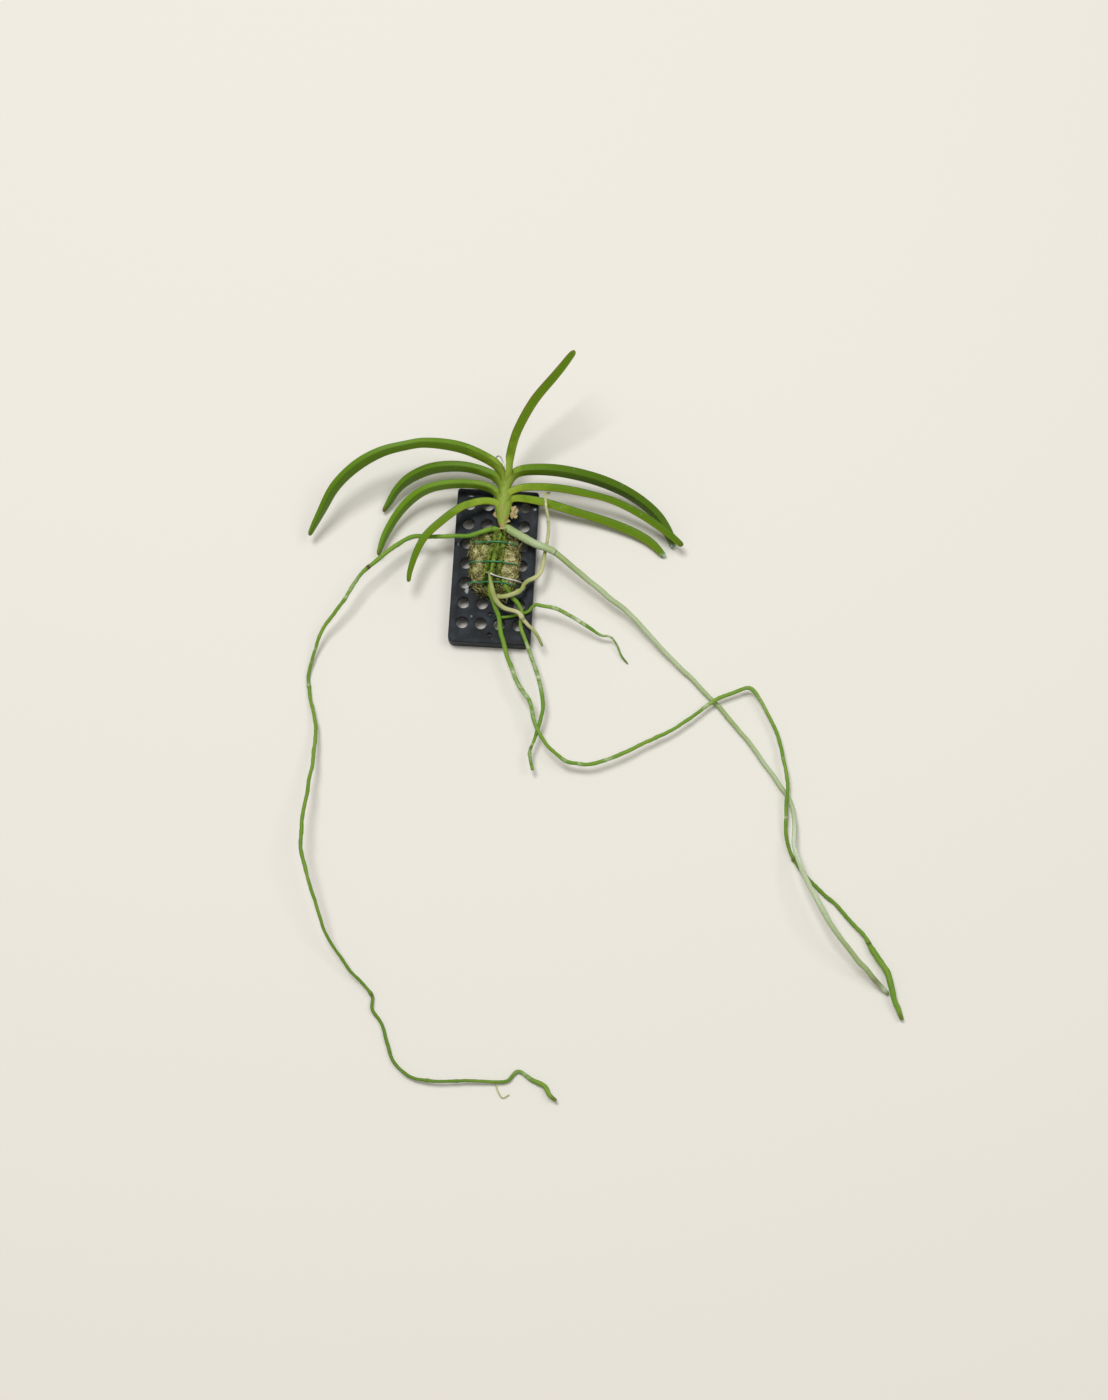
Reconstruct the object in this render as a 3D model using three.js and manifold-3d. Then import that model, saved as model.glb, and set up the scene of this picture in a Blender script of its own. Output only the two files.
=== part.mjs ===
// A small vanda orchid growing on a perforated hanging plaque, with a tied-on pad of moss.
// The plant lies on its back on a flat surface. Units are millimetres and +Z is up.
// The origin is on the surface, in the middle of the plaque's lower rim.
// +X runs across the plaque and +Y runs along it, from the lower rim towards the leaves.

import * as THREE from 'three';
import { mergeVertices } from 'three/addons/utils/BufferGeometryUtils.js';
import Module from 'manifold-3d';

const wasm = await Module();
wasm.setup();

// ---- Colours and finishes ----------------------------------------------------------------

const finish = (name, color, roughness, metalness = 0) => {
  const material = new THREE.MeshStandardMaterial({ color, roughness, metalness });
  material.name = name;
  return material;
};

const BLACK_PLASTIC = finish('black_plastic', 0x33383b, 0.6);
const DRY_MOSS = finish('dry_moss', 0xa89c62, 0.95);
const COATED_TIE = finish('coated_tie', 0x1f7a4e, 0.4);
const GALVANISED_WIRE = finish('galvanised_wire', 0xb9bcbb, 0.35, 0.9);
const STEM_GREEN = finish('stem_green', 0x9db04e, 0.55);
const LEAF_GREEN = finish('leaf_green', 0x4c7a1d, 0.42);
const SILVER_ROOT = finish('silver_root', 0xa9bf8c, 0.8);
const GREEN_ROOT = finish('green_root', 0x6fa03c, 0.65);
const PALE_ROOT = finish('pale_root', 0xc9c79a, 0.85);
const DRIED_BRACT = finish('dried_bract', 0xc8b27c, 0.9);

// ---- Driving dimensions -------------------------------------------------------------------

const GAP = 0.3; // clearance kept between pieces that touch

const PLAQUE = {
  width: 40.6, // across, at the top face
  lowerEnd: -1.0,
  upperEnd: 78.0,
  height: 8.0, // surface to top face
  plate: 3.0, // thickness of the perforated plate
  rim: 2.1, // thickness of the skirt round the edge
  bevel: 0.6,
  lowerCorner: 3.2,
  upperCorner: 1.6,
};

const HOLES = {
  columns: 4,
  rows: 7,
  across: 9.2, // spacing of the columns
  along: 10.15, // spacing of the rows
  first: 9.0, // the lowest row
  radius: 2.9,
  small: { radius: 1.25, along: [3.2, 13.7] },
};

const MOSS = {
  bottom: PLAQUE.height + GAP,
  top: 15.2,
  bevel: 3.0,
  outline: [
    [-8.8, 53.6], [-5.6, 56.2], [0.2, 56.7], [4.6, 55.2], [8.2, 52.4], [11.6, 50.4], [12.0, 42.0],
    [12.2, 30.0], [10.9, 24.8], [5.6, 22.6], [-0.9, 23.0], [-4.6, 24.4], [-9.4, 27.2], [-11.6, 32.0],
    [-11.8, 48.0],
  ],
};

// Threads round the moss. y is where each crosses it, and left, right and holeY are where it goes
// down at the sides and through the plate.
const TIE = { radius: 0.45, underside: 4.1, down: 13.1, crown: 18.4, steps: 44 };
const TIES = {
  tie_upper: { y: 48.1, holeY: 48.2, left: 47.6, right: 47.6 },
  tie_middle: { y: 38.0, holeY: 38.5, left: 38.1, right: 37.8 },
  tie_lower: { y: 27.6, holeY: 28.2, left: 27.6, right: 27.7 },
};

// From its end on the moss the hanger wire goes down through a side hole, runs under the plate,
// comes up under the stem and ends in the hook that the plaque hangs by.
const WIRE = {
  radius: 0.55,
  steps: 72,
  points: [
    [-3.2, 32.6, 17.0], [-2.3, 32.3, 17.8], [-1.0, 31.7, 18.5], [1.7, 30.8, 18.3], [6.7, 30.1, 16.8],
    [10.5, 29.6, 16.2], [13.4, 29.4, 14.6], [14.7, 29.5, 11.4], [14.7, 29.6, 7.0], [14.0, 31.0, 4.0],
    [12.2, 34.5, 2.5], [8.6, 45.0, 2.5], [5.9, 54.6, 2.5], [5.2, 58.2, 4.4], [4.8, 59.6, 7.0],
    [3.9, 60.8, 9.2], [1.6, 63.6, 9.7], [-0.9, 67.1, 9.7], [-1.7, 73.2, 9.8], [-2.6, 80.7, 9.8],
    [-2.2, 87.5, 10.0], [-2.9, 91.2, 10.6], [-2.5, 93.4, 11.6], [-1.0, 94.2, 13.0], [0.5, 92.8, 14.2],
    [1.6, 90.2, 14.9], [2.4, 87.6, 14.9],
  ],
};

const STEM = {
  points: [
    [3.5, 55.0, 15.2], [3.5, 58.0, 15.2], [3.1, 62.5, 15.4], [3.0, 69.0, 15.8], [3.2, 74.5, 16.3],
    [3.8, 79.5, 17.0], [4.4, 83.0, 17.6],
  ],
  radii: [[0, 1.3], [0.1, 2.0], [0.3, 3.0], [0.5, 2.7], [0.8, 2.5], [1, 1.6]],
};

// Leaf blades are folded straps. side is +1 where the channel opens to the left of the way from
// the stem to the tip, and -1 where it opens to the right. roll turns the channel up from level.
// width is the height of the blade as it lies. Youngest leaf first.
const LEAVES = {
  leaf_top: {
    side: 1, roll: 32, width: 4.7,
    points: [
      [4.6, 82.5, 19.4], [4.9, 88.7, 22.0], [6.2, 95.8, 27.5], [8.3, 101.8, 32.5], [15.3, 113.9, 42.0],
      [25.6, 124.9, 51.0], [34.4, 134.3, 57.0],
    ],
  },
  leaf_left_1: {
    side: -1, roll: 30, width: 5.3,
    points: [
      [2.6, 82.6, 17.6], [-1.1, 86.9, 19.5], [-6.9, 89.7, 22.0], [-20.1, 92.6, 27.5],
      [-37.0, 92.6, 31.0], [-46.2, 90.5, 31.5], [-58.1, 86.9, 30.5], [-70.8, 79.8, 27.0],
      [-82.2, 69.2, 20.5], [-90.0, 55.0, 11.0], [-92.4, 48.6, 8.0],
    ],
  },
  leaf_right_1: {
    side: 1, roll: 34, width: 5.8,
    points: [
      [4.6, 79.0, 17.0], [7.4, 83.2, 18.2], [11.8, 85.2, 19.0], [26.9, 86.1, 19.8], [42.2, 84.7, 17.6],
      [60.3, 80.3, 12.6], [71.7, 75.4, 8.4], [80.9, 68.8, 4.2], [86.4, 61.0, 2.0], [88.6, 54.6, 1.4],
    ],
  },
  leaf_left_2: {
    side: -1, roll: 26, width: 5.5,
    points: [
      [2.6, 77.0, 16.4], [-0.8, 80.9, 17.2], [-4.7, 83.0, 17.5], [-16.3, 85.6, 17.8],
      [-27.7, 85.8, 16.5], [-37.3, 84.3, 14.0], [-44.9, 80.9, 11.0], [-50.4, 75.7, 7.5],
      [-54.9, 68.5, 3.8], [-57.6, 64.8, 2.6],
    ],
  },
  leaf_right_2: {
    side: 1, roll: 6, width: 4.6,
    points: [
      [5.0, 73.6, 16.2], [8.5, 75.7, 17.0], [14.2, 77.1, 17.6], [27.4, 77.3, 18.0], [42.7, 75.5, 17.0],
      [57.7, 72.8, 15.2], [72.0, 67.1, 12.6], [86.4, 58.6, 10.0], [93.0, 53.8, 9.0],
    ],
  },
  leaf_left_3: {
    side: -1, roll: 10, width: 4.6,
    points: [
      [1.4, 72.0, 15.6], [-1.8, 74.9, 16.2], [-6.0, 76.6, 16.5], [-18.4, 77.2, 17.0],
      [-34.7, 73.8, 15.0], [-45.2, 66.4, 10.8], [-54.0, 53.1, 6.2], [-58.2, 41.3, 4.4],
    ],
  },
  leaf_right_3: {
    side: 1, roll: 4, width: 4.6,
    points: [
      [4.6, 62.5, 15.2], [5.2, 67.5, 14.9], [6.6, 71.0, 14.3], [9.2, 72.9, 13.6], [20.1, 72.0, 11.6],
      [35.5, 69.2, 8.8], [51.0, 66.3, 6.0], [65.6, 61.8, 4.0], [76.3, 56.6, 2.8], [84.3, 49.8, 1.9],
    ],
  },
  leaf_left_4: {
    side: -1, roll: 4, width: 4.1,
    points: [
      [2.0, 60.5, 15.2], [0.7, 65.5, 15.8], [-1.8, 68.5, 16.8], [-5.1, 69.1, 17.8],
      [-11.6, 67.5, 19.2], [-17.9, 64.3, 20.5], [-27.2, 55.9, 21.5], [-34.9, 46.7, 21.0],
      [-40.2, 31.5, 17.0], [-40.9, 25.6, 15.5],
    ],
  },
};

const BLADE = { halfFold: 30, keel: 0.75, margin: 0.4, taperFrom: 0.6, tip: 0.32, steps: 18 };

// Dry papery remains of old sheaths beside the foot of the stem.
const BRACTS = {
  dried_bract_right: {
    z: 14.2,
    outline: [
      [7.7, 63.4], [8.9, 62.4], [12.2, 63.2], [13.1, 64.3], [11.0, 64.9], [12.0, 66.7], [10.4, 68.3],
      [8.2, 66.0],
    ],
  },
  dried_bract_left: {
    z: 14.2,
    outline: [[-1.0, 61.4], [-0.3, 62.6], [-1.6, 64.2], [-2.9, 63.8], [-2.6, 62.0]],
  },
};

// Roots, each with its route from the plant outwards and its radii as [t, radius] pairs.
const ROOTS = {
  root_silver: {
    material: SILVER_ROOT, steps: 64,
    radii: [
      [0, 2.3], [0.06, 2.2], [0.09, 1.7], [0.25, 1.55], [0.35, 1.4], [0.42, 1.3], [0.55, 1.2],
      [0.7, 1.15], [0.93, 1.25], [1, 0.7],
    ],
    points: [
      [4.0, 57.4, 15.4], [11.4, 53.3, 16.2], [20.5, 48.6, 16.4], [25.6, 46.8, 16.3],
      [30.3, 44.6, 15.7], [38.0, 39.5, 14.0], [48.5, 31.8, 11.8], [59.0, 24.3, 10.0],
      [70.1, 16.4, 7.8], [79.1, 7.9, 5.6], [90.3, -2.4, 3.4], [104.5, -15.1, 1.7], [119.5, -29.9, 1.4],
      [131.9, -44.2, 1.4], [144.3, -60.2, 1.8], [151.2, -69.7, 2.8], [154.0, -80.1, 5.5],
      [153.8, -92.7, 9.5], [155.4, -101.9, 13.0], [159.3, -111.7, 16.5], [166.2, -123.6, 18.5],
      [172.8, -133.4, 18.0], [182.4, -144.1, 13.5], [192.9, -153.8, 7.0], [201.4, -160.8, 1.5],
    ],
  },
  root_left_long: {
    material: GREEN_ROOT, steps: 80,
    radii: [
      [0, 1.3], [0.02, 1.6], [0.05, 1.35], [0.08, 1.4], [0.14, 1.15], [0.2, 1.0], [0.3, 0.88],
      [0.6, 0.88], [0.75, 0.75], [0.95, 0.8], [0.98, 0.95], [1, 0.6],
    ],
    points: [
      [3.2, 57.0, 15.8], [-1.5, 55.5, 16.3], [-4.9, 54.0, 16.4], [-12.7, 51.3, 16.1],
      [-18.9, 51.0, 15.6], [-30.3, 50.1, 14.8], [-40.1, 49.5, 14.3], [-46.4, 45.9, 14.5],
      [-55.9, 37.5, 15.4], [-64.1, 28.8, 16.0], [-72.7, 14.4, 13.5], [-82.2, 0.0, 8.5],
      [-85.5, -9.0, 4.6], [-87.6, -24.7, 1.1], [-82.9, -42.1, 4.2], [-81.1, -61.2, 9.0],
      [-82.3, -79.2, 13.5], [-83.2, -97.0, 17.0], [-82.5, -109.2, 18.5], [-78.8, -120.7, 18.3],
      [-71.7, -140.6, 15.0], [-65.9, -152.0, 11.0], [-54.3, -166.4, 5.0], [-44.8, -175.7, 2.2],
      [-44.2, -182.3, 1.6], [-39.0, -189.0, 1.3], [-35.8, -197.6, 1.2], [-32.2, -206.0, 1.5],
      [-25.8, -211.9, 2.8], [-12.5, -214.4, 4.4], [4.5, -213.0, 4.0], [16.5, -213.2, 2.8],
      [22.8, -212.0, 1.7], [26.9, -207.4, 1.3], [33.2, -210.7, 1.4], [39.4, -213.2, 2.2],
      [42.5, -217.8, 3.4], [46.0, -220.3, 4.0],
    ],
  },
  root_centre_long: {
    material: GREEN_ROOT, steps: 80,
    radii: [
      [0, 0.85], [0.07, 0.95], [0.11, 1.25], [0.16, 1.1], [0.25, 0.98], [0.4, 0.88], [0.6, 0.82],
      [0.85, 0.8], [0.9, 0.95], [0.94, 1.35], [0.98, 1.1], [1, 0.6],
    ],
    points: [
      [2.8, 53.2, 16.5], [1.6, 47.3, 16.5], [1.1, 42.9, 16.5], [0.1, 38.9, 16.5], [-0.3, 33.6, 16.5],
      [-1.2, 28.0, 16.5], [-0.8, 22.3, 15.6], [0.6, 19.2, 14.0], [4.3, 12.3, 11.6], [5.8, 3.9, 10.2],
      [8.8, -5.1, 9.8], [12.4, -14.6, 10.2], [16.9, -22.9, 10.8], [21.5, -29.0, 11.0],
      [25.7, -41.1, 11.0], [29.6, -47.9, 10.4], [34.9, -53.6, 9.6], [40.6, -57.5, 9.0],
      [46.6, -58.4, 8.6], [52.0, -58.7, 8.2], [60.9, -55.8, 7.8], [76.8, -47.4, 7.0],
      [93.7, -37.8, 6.2], [111.4, -23.5, 5.3], [122.1, -18.0, 5.5], [129.3, -15.6, 5.8],
      [134.1, -20.5, 5.3], [140.7, -31.8, 4.8], [145.7, -45.2, 5.0], [149.2, -60.3, 5.6],
      [149.0, -80.4, 3.8], [150.3, -89.1, 2.4], [153.7, -97.7, 1.1], [163.3, -109.0, 0.9],
      [174.4, -118.7, 1.0], [182.6, -126.7, 1.3], [189.5, -134.4, 2.0], [193.9, -141.0, 2.9],
      [199.6, -150.0, 4.0], [202.9, -160.1, 4.6], [208.2, -173.0, 2.6],
    ],
  },
  root_short_green: {
    material: GREEN_ROOT, steps: 26,
    radii: [
      [0, 0.9], [0.1, 1.1], [0.25, 0.92], [0.4, 1.0], [0.65, 1.0], [0.85, 0.85], [0.93, 0.72], [1, 0.85],
    ],
    points: [
      [7.0, 26.0, 15.3], [8.7, 24.1, 13.5], [10.4, 21.8, 12.3], [13.2, 19.0, 12.0], [15.4, 14.9, 11.6],
      [15.1, 10.6, 10.7], [15.3, 7.6, 10.1], [18.0, 1.2, 9.7], [22.7, -10.2, 9.4], [25.6, -17.7, 9.2],
      [28.5, -30.8, 8.8], [27.8, -37.4, 8.3], [25.2, -48.1, 7.7], [23.4, -54.2, 7.4],
      [25.3, -63.1, 7.0],
    ],
  },
  root_pale_front: {
    material: PALE_ROOT, steps: 16,
    radii: [[0, 0.75], [0.1, 1.15], [0.3, 1.25], [0.5, 1.05], [0.65, 1.0], [0.9, 0.85], [1, 0.5]],
    points: [
      [-1.1, 29.7, 19.0], [-0.5, 27.3, 20.4], [0.5, 23.3, 20.1], [1.9, 19.8, 18.0], [4.1, 17.1, 16.4],
      [6.9, 15.4, 15.4], [14.0, 13.6, 14.8], [16.2, 10.8, 13.9], [18.9, 8.2, 12.6], [21.7, 6.1, 11.5],
      [23.9, 3.4, 10.3], [26.5, -1.2, 8.8],
    ],
  },
  root_pale_hooked: {
    material: PALE_ROOT, steps: 28,
    radii: [
      [0, 1.15], [0.15, 1.2], [0.24, 0.95], [0.33, 1.15], [0.45, 1.0], [0.6, 0.82], [0.85, 0.72], [1, 0.6],
    ],
    points: [
      [4.6, 21.0, 15.3], [7.0, 21.4, 15.6], [10.0, 22.4, 15.7], [12.9, 24.0, 15.4], [14.8, 25.7, 15.0],
      [15.6, 27.9, 14.6], [17.2, 30.0, 14.2], [21.8, 33.0, 13.2], [23.8, 36.5, 12.8],
      [24.9, 44.7, 12.2], [25.8, 51.6, 12.6], [26.1, 57.7, 13.9], [25.7, 62.9, 15.2],
      [24.3, 68.8, 15.8], [24.0, 73.0, 15.4], [25.4, 74.8, 15.0],
    ],
  },
  root_side_green: {
    material: GREEN_ROOT, steps: 26,
    radii: [
      [0, 0.72], [0.2, 0.8], [0.35, 0.98], [0.6, 0.95], [0.72, 0.7], [0.83, 0.5], [0.95, 0.48], [1, 0.3],
    ],
    points: [
      [6.8, 12.2, 9.6], [9.5, 12.9, 9.4], [16.4, 15.0, 9.3], [18.8, 16.2, 9.8], [20.5, 18.2, 10.6],
      [22.4, 19.1, 11.4], [24.7, 18.6, 12.0], [31.8, 17.4, 12.8], [38.0, 14.9, 12.0], [48.9, 9.7, 8.8],
      [54.6, 6.8, 6.6], [59.7, 6.3, 5.2], [62.9, 3.1, 3.8], [65.5, -1.9, 1.8], [69.0, -5.6, 0.6],
    ],
  },
  root_old_left: {
    material: GREEN_ROOT, steps: 8,
    radii: [[0, 0.75], [0.4, 0.9], [1, 0.7]],
    points: [
      [0.6, 51.6, 16.5], [-0.7, 47.2, 16.5], [-2.0, 42.7, 16.5], [-2.9, 38.5, 16.5], [-3.3, 34.6, 16.4],
    ],
  },
  root_old_right: {
    material: GREEN_ROOT, steps: 8,
    radii: [[0, 0.75], [0.4, 0.9], [1, 0.7]],
    points: [[4.9, 51.6, 16.5], [4.0, 47.2, 16.5], [4.3, 42.5, 16.5], [3.3, 38.1, 16.5], [2.6, 35.4, 16.4]],
  },
  root_dry_fibre: {
    material: PALE_ROOT, steps: 12,
    radii: [[0, 0.3], [0.5, 0.35], [1, 0.25]],
    points: [
      [16.3, -212.6, 1.3], [17.2, -215.3, 0.7], [18.7, -218.4, 0.5], [20.4, -220.2, 0.5],
      [23.5, -218.5, 0.9],
    ],
  },
};

// ---- Geometry helpers ---------------------------------------------------------------------

const UP = new THREE.Vector3(0, 0, 1);

const vector = ([x, y, z]) => new THREE.Vector3(x, y, z);

const route = (points) => new THREE.CatmullRomCurve3(points.map(vector), false, 'centripetal');

// Straight-line interpolation in a list of [t, value] pairs.
function along(pairs, t) {
  const next = pairs.findIndex(([at]) => at >= t);
  if (next <= 0) return next === 0 ? pairs[0][1] : pairs[pairs.length - 1][1];
  const [t0, v0] = pairs[next - 1];
  const [t1, v1] = pairs[next];
  return v0 + ((v1 - v0) * (t - t0)) / (t1 - t0);
}

function closed(geometry) {
  geometry.deleteAttribute('normal');
  geometry.deleteAttribute('uv');
  return mergeVertices(geometry, 1e-5);
}

function solid(geometry) {
  const merged = closed(geometry.clone());
  const vertProperties = new Float32Array(merged.attributes.position.array);
  const triVerts = new Uint32Array(merged.index.array);
  return new wasm.Manifold(new wasm.Mesh({ numProp: 3, vertProperties, triVerts }));
}

function surface(body) {
  const { vertProperties, triVerts } = body.getMesh();
  const geometry = new THREE.BufferGeometry();
  geometry.setAttribute('position', new THREE.BufferAttribute(vertProperties, 3));
  geometry.setIndex(new THREE.BufferAttribute(triVerts, 1));
  return geometry;
}

// Cuts the given solids out of a body and keeps its largest piece.
function clearOf(body, others) {
  const cut = others.reduce((rest, other) => rest.subtract(other), body);
  return cut.decompose().reduce((best, piece) => (piece.volume() > best.volume() ? piece : best));
}

function box(width, depth, height, x, y, z) {
  return new THREE.BoxGeometry(width, depth, height).translate(x, y, z);
}

// Bends a closed cylinder along a curve. place(t, k) gives corner k of the section at t, as
// [sideways, upward] distances from the curve; corner 0 is upward and the corners turn towards
// sideways. With k null it gives the middle of an end cap. Sideways is level, to the left of the
// way. Each end is lengthened by extra.
function bend(curve, steps, sides, extra, place) {
  const geometry = new THREE.CylinderGeometry(1, 1, 1, sides, steps);
  const position = geometry.attributes.position;
  const corner = new THREE.Vector3();
  for (let i = 0; i < position.count; i += 1) {
    corner.fromBufferAttribute(position, i);
    const t = THREE.MathUtils.clamp(0.5 - corner.y, 0, 1);
    const turn = Math.atan2(corner.x, corner.z) / (2 * Math.PI);
    const k = Math.hypot(corner.x, corner.z) < 0.5 ? null : (Math.round(turn * sides) + sides) % sides;
    const centre = curve.getPointAt(t);
    const tangent = curve.getTangentAt(t);
    const sideways = new THREE.Vector3().crossVectors(UP, tangent).normalize();
    const upward = new THREE.Vector3().crossVectors(tangent, sideways);
    const [across, lift] = place(t, k);
    const reach = (t > 0.999 ? extra : 0) - (t < 0.001 ? extra : 0);
    corner.copy(centre).addScaledVector(tangent, reach);
    corner.addScaledVector(sideways, across).addScaledVector(upward, lift);
    position.setXYZ(i, corner.x, corner.y, corner.z);
  }
  return geometry;
}

const ROD_SIDES = 8;

// A round rod whose radius follows [t, radius] pairs.
function taperedRod(points, radii, steps, sides = ROD_SIDES, extra = 0) {
  return bend(route(points), steps, sides, extra, (t, k) => {
    if (k === null) return [0, 0];
    const angle = (2 * Math.PI * k) / sides;
    const radius = along(radii, t) + extra;
    return [radius * Math.sin(angle), radius * Math.cos(angle)];
  });
}

// A wire or thread of even thickness.
function evenRod(points, radius, steps, sides = 6) {
  const section = new THREE.Shape();
  for (let k = 0; k < sides; k += 1) {
    const angle = (2 * Math.PI * k) / sides;
    const place = [radius * Math.cos(angle), radius * Math.sin(angle)];
    if (k === 0) section.moveTo(...place);
    else section.lineTo(...place);
  }
  return new THREE.ExtrudeGeometry(section, { steps, extrudePath: route(points), curveSegments: 1 });
}

// ---- Holder: plaque, moss, ties and hanger -------------------------------------------------

function roundedOutline(left, right, lower, upper, lowerRadius, upperRadius) {
  const outline = new THREE.Shape();
  outline.moveTo(left + lowerRadius, lower);
  outline.absarc(right - lowerRadius, lower + lowerRadius, lowerRadius, -Math.PI / 2, 0);
  outline.absarc(right - upperRadius, upper - upperRadius, upperRadius, 0, Math.PI / 2);
  outline.absarc(left + upperRadius, upper - upperRadius, upperRadius, Math.PI / 2, Math.PI);
  outline.absarc(left + lowerRadius, lower + lowerRadius, lowerRadius, Math.PI, 1.5 * Math.PI);
  return outline;
}

function holeCentres() {
  const centres = [];
  for (let row = 0; row < HOLES.rows; row += 1) {
    for (let column = 0; column < HOLES.columns; column += 1) {
      const x = (column - (HOLES.columns - 1) / 2) * HOLES.across;
      centres.push([x, HOLES.first + row * HOLES.along]);
    }
  }
  return centres;
}

function drill(radius, x, y, sides) {
  const length = 2 * PLAQUE.height;
  const pin = new THREE.CylinderGeometry(radius, radius, length, sides);
  return pin.rotateX(Math.PI / 2).translate(x, y, length / 2);
}

// An upside-down tray: a perforated plate with a skirt all round that stands on the surface.
function plaque() {
  const { width, lowerEnd, upperEnd, height, plate, rim, bevel, lowerCorner, upperCorner } = PLAQUE;
  const half = width / 2;
  const outline = roundedOutline(-half, half, lowerEnd, upperEnd, lowerCorner, upperCorner);
  const block = new THREE.ExtrudeGeometry(outline, {
    depth: 2 * height, bevelThickness: bevel, bevelSize: bevel, bevelOffset: -bevel, bevelSegments: 1,
    curveSegments: 4,
  }).translate(0, 0, -height - bevel);
  const hollowOutline = roundedOutline(
    rim - half, half - rim, lowerEnd + rim, upperEnd - rim, lowerCorner - rim, upperCorner / 2,
  );
  const hollow = new THREE.ExtrudeGeometry(hollowOutline, {
    depth: 2 * height, bevelEnabled: false, curveSegments: 2,
  }).translate(0, 0, -plate - height);
  const middle = (upperEnd + lowerEnd) / 2;
  const under = box(2 * width, 2 * (upperEnd - lowerEnd), 4 * height, 0, middle, -2 * height);
  const cuts = [hollow, under];
  holeCentres().forEach(([x, y]) => cuts.push(drill(HOLES.radius, x, y, 12)));
  HOLES.small.along.forEach((y) => cuts.push(drill(HOLES.small.radius, 0, y, 8)));
  return surface(clearOf(solid(block), cuts.map(solid)));
}

// A cushion with a flat underside, hollowed wherever something is pressed into it.
function mossPad(pressed) {
  const outline = new THREE.Shape(MOSS.outline.map(([x, y]) => new THREE.Vector2(x, y)));
  const reach = MOSS.top - MOSS.bottom;
  const cushion = new THREE.ExtrudeGeometry(outline, {
    depth: 2 * (reach - MOSS.bevel), bevelThickness: MOSS.bevel, bevelSize: MOSS.bevel,
    bevelOffset: -MOSS.bevel, bevelSegments: 2,
  }).translate(0, 0, MOSS.bevel + MOSS.bottom - reach);
  const under = box(2 * PLAQUE.width, 2 * PLAQUE.upperEnd, 2 * reach, 0, 0, MOSS.bottom - reach);
  return clearOf(solid(cushion), [solid(under), ...pressed]);
}

// One turn of thread: over the moss, down through a hole on each side and under the plate.
function tie({ y, holeY, left, right }, extra = 0) {
  const { radius, underside, down, crown, steps } = TIE;
  const flat = MOSS.top + GAP + radius;
  return evenRod([
    [-0.4, holeY, underside], [-9.6, holeY, underside], [1.0 - down, holeY, underside + 0.4],
    [-down, holeY, PLAQUE.height - 1], [-down, left, 12.6], [-9.8, y, flat - 0.1],
    [-6.0, y, flat + 0.35], [-2.6, y, crown - 0.25], [1.4, y, crown], [4.9, y, crown - 0.2],
    [7.4, y, flat + 0.5], [10.2, y, flat - 0.2], [down, right, 12.6], [down, holeY, PLAQUE.height - 1],
    [down - 1.0, holeY, underside + 0.4], [9.6, holeY, underside], [0.8, holeY, underside],
  ], radius + extra, steps);
}

const hangerWire = (extra = 0) => evenRod(WIRE.points, WIRE.radius + extra, WIRE.steps);

// ---- Plant: stem, leaves, bracts and roots ---------------------------------------------------

const stem = (extra = 0) => taperedRod(STEM.points, STEM.radii, 14, 12, extra);

// A V with a thick keel at the lower edge and two arms, as six corners from the near arm's outer
// margin round to the keel. Distances are [towards the channel side, upward].
function bladeSection(width, roll, extra) {
  const degrees = Math.PI / 180;
  const near = (roll + BLADE.halfFold) * degrees;
  const far = (roll - BLADE.halfFold) * degrees;
  const middle = roll * degrees;
  const keel = BLADE.keel * Math.cos(middle) - width / 2;
  const arm = (width / 2 - keel) / Math.cos(far) + extra;
  const margin = BLADE.margin + extra;
  const at = (angle, length, off) => [
    keel + length * Math.cos(angle) - off * Math.sin(angle),
    length * Math.sin(angle) + off * Math.cos(angle),
  ];
  const crease = Math.max(0.2, (BLADE.keel / Math.sin(BLADE.halfFold * degrees)) * 0.9 - 2 * extra);
  const corners = [
    at(near, arm, margin), at(near, arm, -margin), at(middle, crease, 0),
    at(far, arm, margin), at(far, arm, -margin), at(middle, -BLADE.keel - extra, 0),
  ];
  return { corners, middle: at(middle, crease / 2 - BLADE.keel / 2, 0) };
}

function leaf({ side, roll, width, points }, extra = 0) {
  return bend(route(points), BLADE.steps, 6, extra, (t, k) => {
    const late = Math.max(0, (t - BLADE.taperFrom) / (1 - BLADE.taperFrom));
    const taper = 1 - (1 - BLADE.tip) * late ** 2.2;
    const { corners, middle } = bladeSection(width * taper, roll, extra);
    const order = side > 0 ? [0, 1, 2, 3, 4, 5] : [0, 5, 4, 3, 2, 1];
    const [across, lift] = k === null ? middle : corners[order[k]];
    return [side * across, lift];
  });
}

function bract({ z, outline }) {
  const shape = new THREE.Shape(outline.map(([x, y]) => new THREE.Vector2(x, y)));
  return new THREE.ExtrudeGeometry(shape, { depth: 0.7, bevelEnabled: false }).translate(0, 0, z);
}

// ---- Assembly --------------------------------------------------------------------------------

const orchid = new THREE.Group();

function add(name, geometry, material) {
  const mesh = new THREE.Mesh(closed(geometry), material);
  mesh.name = name;
  orchid.add(mesh);
}

add('plaque', plaque(), BLACK_PLASTIC);
add('hanger_wire', hangerWire(), GALVANISED_WIRE);
add('stem', stem(), STEM_GREEN);

// Whatever is pressed into the moss, with the usual clearance.
const pressed = [solid(hangerWire(GAP)), solid(stem(GAP))];

Object.entries(TIES).forEach(([name, place]) => {
  add(name, tie(place), COATED_TIE);
  pressed.push(solid(tie(place, GAP)));
});

// Each leaf clasps the stem and the younger leaves inside it.
const inner = [solid(stem(GAP))];
Object.entries(LEAVES).forEach(([name, blade]) => {
  add(name, surface(clearOf(solid(leaf(blade)), inner)), LEAF_GREEN);
  inner.push(solid(leaf(blade, GAP)));
});

Object.entries(BRACTS).forEach(([name, shape]) => add(name, bract(shape), DRIED_BRACT));

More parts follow.
